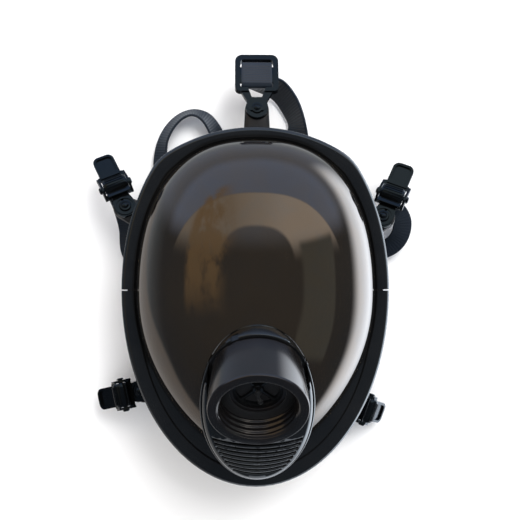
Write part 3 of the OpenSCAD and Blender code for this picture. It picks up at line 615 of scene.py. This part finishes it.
def side_buckle(name, place):
    """Buckle, bar and hooded lever on one of the four side lugs."""
    there = at_buckle(place)
    rail = CHEEK + CHEEK_T
    tab = TAB_W / 2
    # leaf-shaped eyelet plate
    leaf = outline([(-6.9, -3.6), (-3.6, -6.6), (3.2, -6.4), (8.4, -5.0), (10.8, -6.6), (10.8, 6.6),
                    (8.4, 5.0), (3.2, 6.4), (-3.6, 6.6), (-6.9, 3.6)], [3, 4, 4, 3, 0.5, 0.5, 3, 4, 4, 3])
    small_hole = circle(0.8, 20, 4.5)
    parts = [plate([leaf, circle(RIVET_R + RIVET_GAP, 40), small_hole], 0.1, 1.9),
             plate([circle(6.2, 48), circle(5.2, 48)], 1.5, 2.5)]
    # strap window with its rails
    body = outline([(8, -rail), (24.4, -rail), (24.4, rail), (8, rail)], [2.2, 2.6, 2.6, 2.2])
    window = outline([(10.8, -CHEEK), (21.6, -CHEEK), (21.6, CHEEK), (10.8, CHEEK)], 0.8)
    parts.append(plate([body, window], 0, 1.8))
    # cheeks with a round boss for the bar
    side = outline([(8.2, -1), (24.0, -1), (24.2, 1.6), (21.0, 3.2), (17.6, 4.9), (13.4, 4.9),
                    (10.4, 3.2), (8, 1.6)], [0.8, 0.8, 1.0, 1.5, 2.0, 2.0, 1.5, 1.0])
    for way in (-1, 1):
        slab = plate([side], -CHEEK_T / 2, CHEEK_T / 2)
        parts.append(moved(slab, shift(0, way * (CHEEK + CHEEK_T / 2), 0) @ turn("X", 90)))
    # thumb tab with a raised border
    tab_out = outline([(22.6, -tab), (TAB_END, -tab), (TAB_END, tab), (22.6, tab)],
                      [0.3, 4.0, 4.0, 0.3], 10)
    end, edge = TAB_END - TAB_RIM, tab - TAB_RIM
    tab_in = outline([(25.2, -edge), (end, -edge), (end, edge), (25.2, edge)], [0.8, 2.6, 2.6, 0.8], 10)
    parts.append(plate([tab_out], 0, 1.4))
    parts.append(plate([tab_out, tab_in], 1.3, 2.7))
    obj = make(name + "_buckle", joined(*parts), there, BUCKLE, 30)
    apply(bevel(obj, 0.32, 3, 40))
    piece(obj, name + "_buckle_turn", "buckle_black", name + "_buckle")
    across = there @ shift(*BAR_AT) @ turn("X", 90)
    half = rail + 0.3
    bar = [(0, -half - 1), (1.5, -half - 1), (2.1, -half - 0.5), (2.1, -half + 0.1), (1.4, -half + 0.1),
           (1.4, half - 0.1), (2.1, half - 0.1), (2.1, half + 0.5), (1.5, half + 1), (0, half + 1)]
    piece(make(name + "_bar", revolve(bar, 40), across, BUCKLE, 30), name + "_buckle_turn", "buckle_black",
          name + "_bar")
    # arched hood that grips the strap
    h = CHEEK - 0.35
    arc = [(LEVER_IN, -h + 0.5), (LEVER_IN, h - 0.5), (LEVER_IN + 0.5, h), (LEVER_OUT - 0.7, h),
           (LEVER_OUT, h - 0.9), (LEVER_OUT + 0.25, h - 2.6), (LEVER_OUT + 0.25, -h + 2.6),
           (LEVER_OUT, -h + 0.9), (LEVER_OUT - 0.7, -h), (LEVER_IN + 0.5, -h)]
    hood = [revolve(arc, 30, 26, 140)]
    for a in (50, 66, 82, 98, 114):
        rib = box(LEVER_OUT - 0.3, LEVER_OUT + 0.75, -0.45, 0.45, -5.8, 5.8)
        hood.append(moved(rib, turn("Z", a)))
    lip = plate([outline([(LEVER_IN + 0.1, -1.6), (LEVER_IN + 4.7, -1.3), (LEVER_IN + 4.7, -0.2),
                          (LEVER_IN + 0.1, 0)], [0.2, 0.5, 0.5, 0.2])], -h, h)
    hood.append(moved(lip, turn("Z", 163)))
    for way in (-1, 1):
        ear = revolve([(1.5, -0.7), (2.7, -0.7), (2.7, 0.7), (1.5, 0.7)], 32)
        hood.append(moved(ear, shift(0, 0, way * (h - 0.75))))
        web = revolve([(2.4, -0.7), (LEVER_IN + 0.3, -0.7), (LEVER_IN + 0.3, 0.7), (2.4, 0.7)], 20, 50, 100)
        hood.append(moved(web, shift(0, 0, way * (h - 0.75))))
    obj = make(name + "_lever", joined(*hood), across, BUCKLE, 30)
    apply(bevel(obj, 0.25, 2, 45))
    piece(obj, name + "_lever_turn", "buckle_black", name + "_lever")


for key, place in PLACES.items():
    side_buckle(key, place)


def top_buckle():
    """Forehead loop with its eyelet neck and the flat bar that the strap turns round."""
    there = at_buckle(TOP)
    w = 13.5
    loop = outline([(11, -w), (37, -w), (37, w), (11, w), (11, 4.6), (13.6, 5.4), (13.6, 10.2),
                    (33.6, 10.2), (33.6, -10.2), (13.6, -10.2), (13.6, -5.4), (11, -4.6)],
                   [3.2, 4.6, 4.6, 3.2, 0.4, 0.6, 1.2, 2.4, 2.4, 1.2, 0.6, 0.4], 8)
    parts = [plate([loop], 0.1, 4.1)]
    neck = outline([(-2, -6.6), (4.5, -6.2), (12.4, -10.5), (12.4, -4.9), (7.2, -3.2), (7.2, 3.2),
                    (12.4, 4.9), (12.4, 10.5), (4.5, 6.2), (-2, 6.6)],
                   [4, 3, 0.4, 0.3, 0.7, 0.7, 0.3, 0.4, 3, 4])
    eye = circle(RIVET_R + RIVET_GAP, 40)
    parts.append(plate([neck, eye], 0.1, 3.1))
    parts.append(plate([circle(6.9, 56), circle(4.7, 56)], 0.1, 2.9))
    parts.append(plate([circle(6.4, 56), eye], 0.1, 2.1))
    flat_bar = rounded([(17.4, 1.1), (29, 1.1), (29, 2.9), (17.4, 2.9)], 0.8)
    parts.append(moved(plate([flat_bar], -10.6, 10.6), turn("X", 90)))
    obj = make("top_buckle_frame", joined(*parts), there, BUCKLE, 30)
    apply(bevel(obj, 0.45, 3, 40))
    piece(obj, "top_buckle_turn", "buckle_black", "top_buckle_frame")


top_buckle()

# ---------- straps ----------
STRAP_T, STRAP_W, TOP_STRAP_W, FLAT = 1.8, 12, 19, 1.15
RIB_PITCH, RIB_DEPTH, RIB_STEP = 1.7, 0.26, 0.42


def even(rows, step):
    """Smooth path through the rows with points a step apart."""
    path = smooth(rows, 24)
    out, left = [path[0]], step
    for a, b in zip(path, path[1:]):
        d = math.dist(a[:3], b[:3])
        while d > 1e-9 and left <= d:
            t = left / d
            a = [p + (q - p) * t for p, q in zip(a, b)]
            out.append(a)
            d, left = d - left, step
        left -= d
    return out


def ribbed_strap(name, rows, width):
    """Rubber strap along rows of point and width direction, with fine ribs across both faces."""
    path = even(rows, RIB_STEP)
    at = [Vector(p[:3]) for p in path]
    m = len(at) - 1
    h = STRAP_T / 2
    section = [(-1, -0.55), (-1, 0.55), (-0.96, 0.85), (-0.88, 0.9), (-0.82, 1), (0, 1), (0.82, 1),
               (0.88, 0.9), (0.96, 0.85), (1, 0.55), (1, -0.55), (0.96, -0.85), (0.88, -0.9),
               (0.82, -1), (0, -1), (-0.82, -1), (-0.88, -0.9), (-0.96, -0.85)]
    rings = []
    for i in range(m + 1):
        along = (at[min(i + 1, m)] - at[max(i - 1, 0)]).normalized()
        raw = Vector(path[i][3:])
        across = (raw - along * raw.dot(along)).normalized()
        up = across.cross(along)
        rib = RIB_DEPTH * (0.5 - 0.5 * math.cos(math.tau * i * RIB_STEP / RIB_PITCH))
        rings.append([at[i] + across * (u * width / 2)
                      + up * (v * h - (math.copysign(rib, v) if abs(u) < 0.85 else 0)) for u, v in section])
    return make(name, loft(rings), Matrix.Identity(4), STRAP, 50)


def wrap_rows(place):
    """Strap's way up, over its bar and down as the free tail."""
    there = at_buckle(place) @ shift(*BAR_AT)
    across = there.to_3x3() @ Vector((0, 1, 0))
    r = 2.6
    local = [(-r, -6.5), (-r, -3), *((-r * cosd(a), r * sind(a)) for a in range(0, 181, 22)),
             (r, -4.5), (r, -9)]
    return [[*(there @ Vector((x, 0, z))), *across] for x, z in local]


# each row: a point on the strap's middle line, then the direction of its width
ROWS = {
    "upper_right": [
        [85.7, 36.1, 27.7, -0.897, 0.353, -0.265], [88, 34.6, 21.6, -0.95, 0.25, -0.15],
        [92.6, 31.5, 18.4, -0.95, -0.1, 0.1], [95.6, 25.5, 16.2, -0.99, 0.05, 0.05],
        [95, 18, 13.2, -0.93, 0.35, -0.1], [91.5, 11.8, 9.6, -0.78, 0.6, -0.2],
        [85, 8, 5.6, -0.5, 0.83, -0.22], [76, 6.5, 2.2, -0.25, 0.95, 0], [62, 6.5, FLAT, -0.1, 1, 0],
        [48, 6, FLAT, 0, 1, 0], [35.6, 6, FLAT, 0, 1, 0]],
    "upper_left": [
        [-86.1, 41.2, 26.8, -0.896, -0.382, 0.227], [-84, 33, 18, -0.93, -0.3, 0],
        [-82.5, 21, 11.5, -0.92, 0.05, -0.35], [-81.5, 7, 7, -0.83, -0.45, -0.33],
        [-74.5, -3, 2.6, -0.5, -0.86, 0], [-62, -6, FLAT, 0.1, -1, 0],
        [-52, 4, FLAT, 0.85, -0.5, 0], [-51, 24, FLAT, 1, -0.1, 0], [-56, 42, 3, 0.97, 0.1, 0.2],
        [-61, 60, 7.4, 0.8, 0.2, 0.55], [-60.5, 75, 9, 0.65, 0.1, 0.75], [-56, 86, 9.8, 0.5, -0.2, 0.82],
        [-48.5, 94, 10, 0.3, -0.35, 0.87], [-40, 97, 10, 0, -0.45, 0.89], [-32, 94, 9.6, -0.35, -0.5, 0.8],
        [-26, 86, 8, -0.6, -0.45, 0.68], [-21.5, 74, 4.4, -0.85, -0.3, 0.4], [-18, 58, 1.6, -1, -0.1, 0.04],
        [-16, 46, FLAT, -1, 0, 0], [-16, 32.6, FLAT, -1, 0, 0]],
    "lower_right": [
        [62.7, -90.9, 23.3, 0.356, 0.934, -0.043], [59.3, -88.5, 14.5, 0.42, 0.9, 0],
        [56, -85.3, 6.3, 0.5, 0.86, 0], [50, -80, 1.4, 0.6, 0.8, 0],
        [40, -68, FLAT, 0.8, 0.6, 0], [27, -50, FLAT, 0.9, 0.4, 0],
        [20, -39, FLAT, 1, 0.1, 0], [18.4, -30.4, FLAT, 1, 0, 0]],
    "lower_left": [
        [-75.1, -82.3, 24.3, 0.225, -0.968, 0.11], [-72.3, -81, 15.5, 0.3, -0.95, 0.04],
        [-68, -78, 7, 0.42, -0.9, 0], [-59, -71.5, 1.4, 0.55, -0.83, 0],
        [-44, -59.5, FLAT, 0.7, -0.7, 0], [-30, -47, FLAT, 0.85, -0.5, 0],
        [-20, -39, FLAT, 1, -0.1, 0], [-18.4, -30.4, FLAT, 1, 0, 0]],
}
for key, rows in ROWS.items():
    obj = ribbed_strap(f"strap_{key}", rows[::-1] + wrap_rows(PLACES[key]), STRAP_W)
    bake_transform(obj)
    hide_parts(f"strap_{key}", f"{key}_strap_end")

TOP_ROWS = [
    [1, 111.2, 22, 1, 0, 0], [5, 114.5, 14.5, 0.8, 0.2, 0.5], [15, 112, 10.6, 0.5, 0.35, 0.79],
    [23, 102, 9.8, 0.5, 0.25, 0.83], [27.8, 89, 9.8, 0.5, 0.1, 0.86], [27, 76, 6.4, 0.85, 0, 0.5],
    [22, 62, 2, 1, -0.15, 0.08], [17, 48, FLAT, 1, -0.1, 0], [15, 33.8, FLAT, 1, 0, 0]]


def top_strap():
    """Up through the loop buckle, round its flat bar and back down."""
    there = at_buckle(TOP)
    across = -(there.to_3x3() @ Vector((0, 1, 0)))
    r = 2.1
    local = [(20.9, -6), (20.9, -3.2), (19.5, -0.4), (17, -0.1)]
    local += [(17 - r * sind(a), 2 - r * cosd(a)) for a in range(30, 181, 30)]
    local += [(20, 4.1), (26, 4.1)]
    local += [(29.4 + r * sind(a), 2 + r * cosd(a)) for a in range(0, 181, 30)] + [(24, -0.1)]
    rows = [[*(there @ Vector((x, 0, z))), *across] for x, z in local]
    obj = ribbed_strap("strap_top", TOP_ROWS[::-1] + rows, TOP_STRAP_W)
    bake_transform(obj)
    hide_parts("strap_top", "top_strap_loop")


top_strap()


def harness_pad():
    shape = outline([(-35, -18), (-25, -28), (25, -28), (35, -18), (35, 22), (25, 32), (-25, 32),
                     (-35, 22)], 8)
    holes = [circle(4, 32, x, y) for x in (-20, 0, 20) for y in (-14, 2, 18)]
    obj = make("harness_pad", plate([shape, *holes], 0, 2.2), Matrix.Identity(4), STRAP, 30)
    apply(bevel(obj, 0.4, 2, 50))
    piece(obj, "mask", "harness_rubber", "harness_pad")


harness_pad()

# ---------- port ----------
PORT_R, NECK_R, THREAD_R, DEPTH, HOLE_R, GROOVE, COLLAR_H = 26, 23.4, 20.2, 13, 12.7, 28, 8
PITCH, CREST, RUN_OUT = 25.4 / 7, 0.95, 1.2
NECK_END, SEAT_R, SEAT_DROP, BORE_TOP = -38.4, 14.6, 2.2, -0.9


def port_connector():
    """Port tube whose bore carries the helical round thread."""
    outer = rounded([(THREAD_R + 0.9, 0), (PORT_R - 0.35, 0), (PORT_R, -1.2), (24.7, -GROOVE + 0.6),
                     (24.5, -GROOVE + 0.2), (NECK_R, -GROOVE + 0.2), (NECK_R, NECK_END),
                     (SEAT_R, NECK_END), (SEAT_R, -DEPTH - SEAT_DROP), (HOLE_R, -DEPTH - SEAT_DROP),
                     (HOLE_R, -DEPTH), (THREAD_R + 0.4, -DEPTH)],
                    [0.4, 0.6, 0.6, 0.2, 0.1, 0.2, 0.3, 0.3, 0.1, 0.1, 0.5, 0.3], 4)
    bore = steps(-DEPTH + 0.35, BORE_TOP, 42)
    rings = []
    n = 144
    for i in range(n):
        a = 360 * i / n
        ring = [Vector((p.x * cosd(a), p.x * sind(a), p.y)) for p in outer]
        for z in bore:
            phase = (z / PITCH + i / n) % 1
            fade = max(0.0, min(1.0, (BORE_TOP - z) / RUN_OUT, (z + DEPTH - 0.3) / RUN_OUT))
            r = THREAD_R + 0.15 - CREST * fade * (0.5 - 0.5 * math.cos(math.tau * phase)) ** 0.8
            ring.append(Vector((r * cosd(a), r * sind(a), z)))
        rings.append(ring)
    obj = make("port_connector", loft(rings, "loop"), PORT, TUBE, 35)
    piece(obj, "mask", "black_shell", "port_connector")


port_connector()
WASHER = [(SEAT_R, 0.05), (THREAD_R + 0.3, 0.05), (THREAD_R + 0.3, 0.8), (19.6, 0.95), (15.2, 0.95),
          (SEAT_R, 0.8)]
piece(make("port_gasket", revolve(WASHER, 72), PORT @ shift(0, 0, -DEPTH), RUBBER, 30),
      "mask", "gasket_rubber", "port_gasket")


def port_collar():
    section = rounded([(NECK_R + 0.05, -GROOVE - 0.4), (25.9, -GROOVE - 0.4), (PORT_R + 0.2, -GROOVE - 1.2),
                       (PORT_R + 0.2, -GROOVE - COLLAR_H), (NECK_R + 0.05, -GROOVE - COLLAR_H)],
                      [0.3, 0.5, 0.5, 0.3, 0.3], 4)
    obj = make("port_collar", revolve([(p.x, p.y) for p in section], 120), PORT, BLACK, 35)
    for a in (45, 135, 118):  # grip notches
        cut(obj, box(PORT_R - 0.9, PORT_R + 2, -2.2, 2.2, -GROOVE - 4.4, -GROOVE + 1), PORT @ turn("Z", a))
    outside = egg_rings([(-0.15, -30), (60, -30), (60, 20), (-0.15, 20)])
    cut(obj, loft(outside, "loop"), HOUSING)
    apply(bevel(obj, 0.2, 2, 60))
    piece(obj, "mask", "black_shell", "port_collar")


port_collar()
GRID = -DEPTH - 2.3


def valve_grid():
    """Spoked grid, and the inhalation disc with the pull tail that hangs from its hub."""
    parts = [revolve([(11.6, GRID - 2), (14.5, GRID - 2), (14.5, GRID), (11.6, GRID)], 64)]
    for a in (45, 135, 225, 315):
        spoke = rounded([(-0.9, GRID - 1.9), (0.9, GRID - 1.9), (0.7, GRID - 0.1), (-0.7, GRID - 0.1)], 0.3)
        rings = [[Vector((x, p.x * w, p.y)) for p in spoke]
                 for x, w in ((1.5, 1.2), (4, 0.9), (9, 0.9), (12, 1.3))]
        parts.append(moved(loft(rings), turn("Z", a)))
    hub = [(1.1, GRID - 1.9), (3, GRID - 1.9), (3, GRID + 0.4), (2.6, GRID + 0.85), (1.1, GRID + 0.9)]
    parts.append(revolve(hub, 40))
    piece(make("inhalation_valve_grid", joined(*parts), PORT, BLACK, 35), "mask", "black_shell",
          "inhalation_valve_grid")
    disc = [(0, GRID - 3.1), (13.2, GRID - 3.0), (13.4, GRID - 2.1), (1, GRID - 2.1), (1, GRID + 2.1),
            (1.6, GRID + 2.3), (1.9, GRID + 2.9), (1.5, GRID + 3.5), (0.8, GRID + 3.9), (0, GRID + 4)]
    tail = [(0, 0, GRID + 3.4, 0.9), (0.1, -1.6, GRID + 4.0, 0.85), (0.5, -3.6, GRID + 3.6, 0.8),
            (1.0, -5.6, GRID + 2.6, 0.8), (1.3, -7.0, GRID + 1.9, 0.95), (1.35, -7.7, GRID + 1.6, 1.35),
            (1.4, -8.5, GRID + 1.2, 1.45), (1.4, -9.2, GRID + 0.9, 1.0), (1.4, -9.5, GRID + 0.8, 0.3)]
    rings = []
    path = smooth(tail, 3)
    for i, p in enumerate(path):
        a, b = Vector(path[max(i - 1, 0)][:3]), Vector(path[min(i + 1, len(path) - 1)][:3])
        along = (b - a).normalized()
        u = along.cross(Vector((1, 0, 0))).normalized()
        v = along.cross(u)
        rings.append([Vector(p[:3]) + (u * cosd(t) + v * sind(t)) * p[3] for t in range(0, 360, 24)])
    obj = make("inhalation_valve_disc", joined(revolve(disc, 56), loft(rings)), PORT, SILICONE, 40)
    piece(obj, "inhalation_valve", "silicone", "inhalation_valve_disc")


valve_grid()

# ---------- valve housing ----------
EXHALE = shift(0, -25.5, 0)
RIM_Z, RIM_FALL, RIM_FALL_END = 7.2, 5.4, 0.75
COVER_END = 15.5


def rise(share):
    """Smooth step from 0 to 1."""
    t = max(0.0, min(1.0, share))
    return t * t * (3 - 2 * t)


def rim(drop):
    """Height of the rim by angle: it falls towards the port."""
    return lambda t: RIM_Z - RIM_FALL * rise(sind(t) / RIM_FALL_END) - drop


def port_in_housing(r, low, high):
    """Cylinder round the port's axis, in the housing's place."""
    there = HOUSING.inverted() @ PORT
    return moved(revolve([(0, low), (r, low), (r, high), (0, high)], 96), there)


def valve_housing():
    rows = [(0, -22), (0, -9), (0.05, 0), (0.25, rim(2.6)), (0.2, rim(1.2)), (-0.1, rim(0.4)),
            (-0.6, rim(0)), (-0.8, rim(0.15)), (-0.9, rim(0.5)), (-1.3, rim(0.9)), (-3.4, rim(1.1)),
            (-9, rim(1.0)), (-9, -22)]
    obj = make("valve_housing", loft(egg_rings(rows, 144), "loop"), HOUSING, BLACK, 32)
    cut(obj, port_in_housing(PORT_R + 0.5, -GROOVE - COLLAR_H - 0.2, 20), HOUSING)
    cut(obj, port_in_housing(NECK_R + 0.15, -60, 20), HOUSING)
    cut(obj, revolve([(0, -40), (19.5, -40), (19.5, -16.6), (0, -16.6)], 64), HOUSING @ EXHALE)
    spigot = revolve([(12.8, -23), (16, -23), (16, 0), (14.5, 0), (14.5, -2.5), (12.8, -2.5)], 64)
    inner = make("valve_spigot", moved(spigot, EXHALE), HOUSING, BLACK, 35)
    piece(inner, "mask", "black_shell")
    piece(obj, "mask", "black_shell", "valve_housing")


valve_housing()


LOUVRES, LOUVRE_Y, LOUVRE_PITCH, LOUVRE_SAG, LOUVRE_MARGIN = 8, -15.8, 2.75, 1.7, 4.2


def louvre(y):
    """Bowed slot cutter across the cover, a margin short of its sides."""
    half = HOUSING_A * math.sqrt(1 - ((y - LOUVRE_SAG) / HOUSING_B) ** 2) - LOUVRE_MARGIN
    rings = []
    for i in range(13):
        x = half * (i / 6 - 1)
        sag = -LOUVRE_SAG * math.cos(x / half * math.pi / 2)
        ring = [Vector((x, y + sag + dy + lean, z)) for dy, z, lean in
                ((-0.8, 6.5, 0.9), (0.8, 6.5, 0.9), (0.8, 17, -0.6), (-0.8, 17, -0.6))]
        rings.append(ring)
    return loft(rings)


def exhalation_cover():
    shell = [(-1.0, 5.8), (-1.0, 7.0), (-1.5, 8.5), (-2.6, 9.9), (-4.2, 11.2), (-6.6, 12.2), (-10, 13.1),
             (-15, 13.9), (-20, 14.4), (-25, 14.6)]
    under = [(g - 1.2, z - 1.7) for g, z in reversed(shell[2:])] + [(-2.5, 5.8)]
    obj = make("exhalation_cover", loft(egg_rings(shell[::-1] + under[::-1], 144)), HOUSING, BLACK, 35)
    cut(obj, joined(*(louvre(LOUVRE_Y - LOUVRE_PITCH * i) for i in range(LOUVRES))), HOUSING)
    cut(obj, port_in_housing(PORT_R + 0.6, -60, 30), HOUSING)
    cut(obj, box(-50, 50, COVER_END, 70, -10, 50), HOUSING)
    piece(obj, "mask", "black_shell", "exhalation_cover")


exhalation_cover()

# ---------- nose cup ----------
# each row: y and z of the middle, half width, half depth and tilt
CUP_T = 1.7
CUP_ROWS = [[-66.2, 22.3, 18, 18, 20], [-64.3, 17.2, 18, 18, 20], [-61.5, 10.5, 21, 20.5, 18],
            [-56, 1, 29, 27, 14], [-49, -12, 36, 34, 8], [-44, -26, 40, 36.5, 3], [-41, -37, 40, 33.5, 0],
            [-41, -41, 37, 30.5, 0]]


def cup_ring(r, shrink):
    tilt = turn("X", r[4])
    return [tilt @ Vector(((r[2] - shrink) * cosd(t), (r[3] - shrink) * sind(t), 0)) + Vector((0, r[0], r[1]))
            for t in range(0, 360, 4)]


def cup_valve(side):
    flip = Matrix.Diagonal((side, 1, 1, 1))
    return MASK @ flip @ shift(26.5, -37, -1) @ turn("Z", 24) @ turn("Y", 52)


def nose_cup():
    rows = smooth(CUP_ROWS, 3)
    rings = [cup_ring(r, 0) for r in rows] + [cup_ring(r, CUP_T) for r in reversed(rows)]
    obj = make("nose_cup", loft(rings, "loop"), MASK, SILICONE, 50)
    for side in (-1, 1):
        cut(obj, revolve([(0, -15), (9.1, -15), (9.1, 15), (0, 15)], 48), cup_valve(side))
    piece(obj, "mask", "silicone", "nose_cup")


nose_cup()

# ---------- fixings and inner parts kept from the CAD ----------
for node, mat in {
    "frame_screws": STEEL, "frame_nuts": STEEL, "lug_washers": STEEL, "nose_cup_clamp": STEEL,
    "housing_gasket": RUBBER, "housing_clamp_ring": BLACK, "exhalation_valve_seat": BLACK,
    "exhalation_valve_disc": SILICONE, "nose_cup_valve_seats": BLACK, "nose_cup_valve_disc_right": SILICONE,
    "nose_cup_valve_disc_left": SILICONE,
}.items():
    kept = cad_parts[node]
    if kept.data.materials:
        for i in range(len(kept.data.materials)):
            kept.data.materials[i] = mat
    else:
        kept.data.materials.append(mat)


# ---------- floor, light and camera ----------
FLOOR_HALF, FLOOR_Z = 3, -0.0004  # metres, as are all lengths from here on


def floor():
    w = FLOOR_HALF
    mesh = bpy.data.meshes.new("floor")
    mesh.from_pydata([(-w, -w, 0), (w, -w, 0), (w, w, 0), (-w, w, 0)], [], [(0, 1, 2, 3)])
    mat, n, bsdf, coord = material("floor", **{"Roughness": 0.9, "Specular IOR Level": 0.1})
    n.link(n.ramp(noise(n, coord, 3, 2), (0.3, (0.88, 0.88, 0.88)), (0.7, (0.9, 0.9, 0.9))),
           bsdf.inputs["Base Color"])
    mesh.materials.append(mat)
    obj = bpy.data.objects.new("floor", mesh)
    obj.location.z = FLOOR_Z
    obj.visible_glossy = False
    bpy.context.scene.collection.objects.link(obj)


floor()


def area(name, at, target, size, power):
    """Square lamp that doesn't show in reflections."""
    lamp = bpy.data.lights.new(name, "AREA")
    lamp.shape, lamp.size, lamp.energy = "SQUARE", size, power
    obj = bpy.data.objects.new(name, lamp)
    obj.location = at
    obj.rotation_euler = (Vector(target) - Vector(at)).to_track_quat("-Z", "Y").to_euler()
    obj.visible_glossy = False
    bpy.context.scene.collection.objects.link(obj)


area("key", (0.38, 0.6, 1.2), (0, 0, 0.05), 0.6, 14)
area("fill", (-0.6, -0.4, 1.2), (0, 0, 0.05), 0.9, 3)
area("overhead", (0.1, 0.1, 1.6), (0, 0, 0), 2.2, 22)


def room():
    """Soft surroundings by direction: a dark room with pale low walls, a slate end and a warm wall."""
    world = bpy.data.worlds.new("room")
    bpy.context.scene.world = world
    world.use_nodes = True
    tree = world.node_tree
    n = Nodes(tree)
    back = tree.nodes["Background"]
    way = n.add("ShaderNodeTexCoord").outputs["Generated"]
    x, y, z = n.add("ShaderNodeSeparateXYZ", Vector=way).outputs

    def times(first, *others):
        for other in others:
            first = n.math("MULTIPLY", first, other)
        return first

    def soft(value, low, high):
        node = n.add("ShaderNodeMapRange", **{"Value": value, "From Min": low, "From Max": high})
        node.interpolation_type = "SMOOTHSTEP"
        return node.outputs[0]

    def band(value, low, high, edge):
        return times(soft(value, low - edge, low + edge), soft(value, high + edge, high - edge))

    def mix(a, b, fac):
        node = n.add("ShaderNodeMix", data_type="RGBA")
        tree.links.new(fac, node.inputs["Factor"])
        for socket, v in ((node.inputs[6], a), (node.inputs[7], b)):
            if isinstance(v, bpy.types.NodeSocket):
                tree.links.new(v, socket)
            else:
                socket.default_value = (*v, 1)
        return node.outputs[2]

    up = n.math("ADD", n.math("MULTIPLY", z, 0.5), 0.5)
    dark = n.ramp(up, (0.0, (0.7, 0.75, 0.8)), (0.3, (0.20, 0.24, 0.28)), (0.45, (0.07, 0.09, 0.12)),
                  (0.85, (0.10, 0.11, 0.13)), (1.0, (0.10, 0.11, 0.13)))
    # low walls, whose top edge rises at the chin end and falls at the forehead end
    edge = n.math("SUBTRACT", times(soft(y, 0.2, -0.5), 0.45),
                  n.math("ADD", times(soft(y, 0.3, 0.6), 0.45), 0.65))
    pale = mix((0.48, 0.46, 0.45), (0.95, 1.0, 1.08), soft(x, -0.6, 0.3))
    colour = mix(dark, pale, soft(n.math("SUBTRACT", z, edge), 0.06, -0.06))
    # the forehead end: slate, with a warm wall above its slanting edge
    front = soft(y, 0.25, 0.5)
    colour = mix(colour, (0.40, 0.46, 0.58), times(front, soft(z, -0.75, -0.5)))
    slant = n.math("SUBTRACT", z, n.math("MULTIPLY", y, 0.76))
    slate = times(front, soft(z, -0.15, 0.1), soft(slant, 0.02, -0.02))
    colour = mix(colour, (0.56, 0.72, 1.08), slate)
    arch = times(soft(slant, -0.02, 0.02), soft(z, 0.875, 0.85), soft(y, 0.15, 0.42))
    warm = mix((0.98, 0.90, 0.80), (1.6, 1.5, 1.4), soft(x, -0.3, 0.35))
    colour = mix(colour, warm, arch)
    # a mottled gold patch on the left, a grey panel and a pale low wall on the right
    patch = soft(noise(n, way, 4.5, 4, 0.6), 0.30, 0.58)
    gold = times(band(z, 0.45, 0.90, 0.05), times(soft(x, -0.12, -0.4), soft(y, -0.25, 0.1)), patch, 0.85)
    colour = mix(colour, (0.75, 0.52, 0.28), gold)
    panel = times(band(z, 0.30, 0.80, 0.03), times(soft(x, 0.48, 0.52), band(y, -0.5, 0.32, 0.04)))
    colour = mix(colour, (0.26, 0.29, 0.29), panel)
    colour = mix(colour, (3.1, 3.3, 3.6), times(soft(x, 0.45, 0.75), soft(z, -0.1, -0.4)))
    tree.links.new(colour, back.inputs["Color"])
    back.inputs["Strength"].default_value = 1.0


room()

cam = bpy.data.cameras.new("camera")
cam.lens, cam.sensor_width = 56, 36
camera = bpy.data.objects.new("camera", cam)
eye, aim = Vector((-8.4, 1.0, 538)) * MM, Vector((2.5, 1.0, 58)) * MM
back = (eye - aim).normalized()
right = Vector((0, 1, 0)).cross(back).normalized()
camera.matrix_world = shift(*eye) @ Matrix((right, back.cross(right), back)).transposed().to_4x4()
bpy.context.scene.collection.objects.link(camera)
bpy.context.scene.camera = camera
bpy.context.scene.view_settings.view_transform = "Standard"
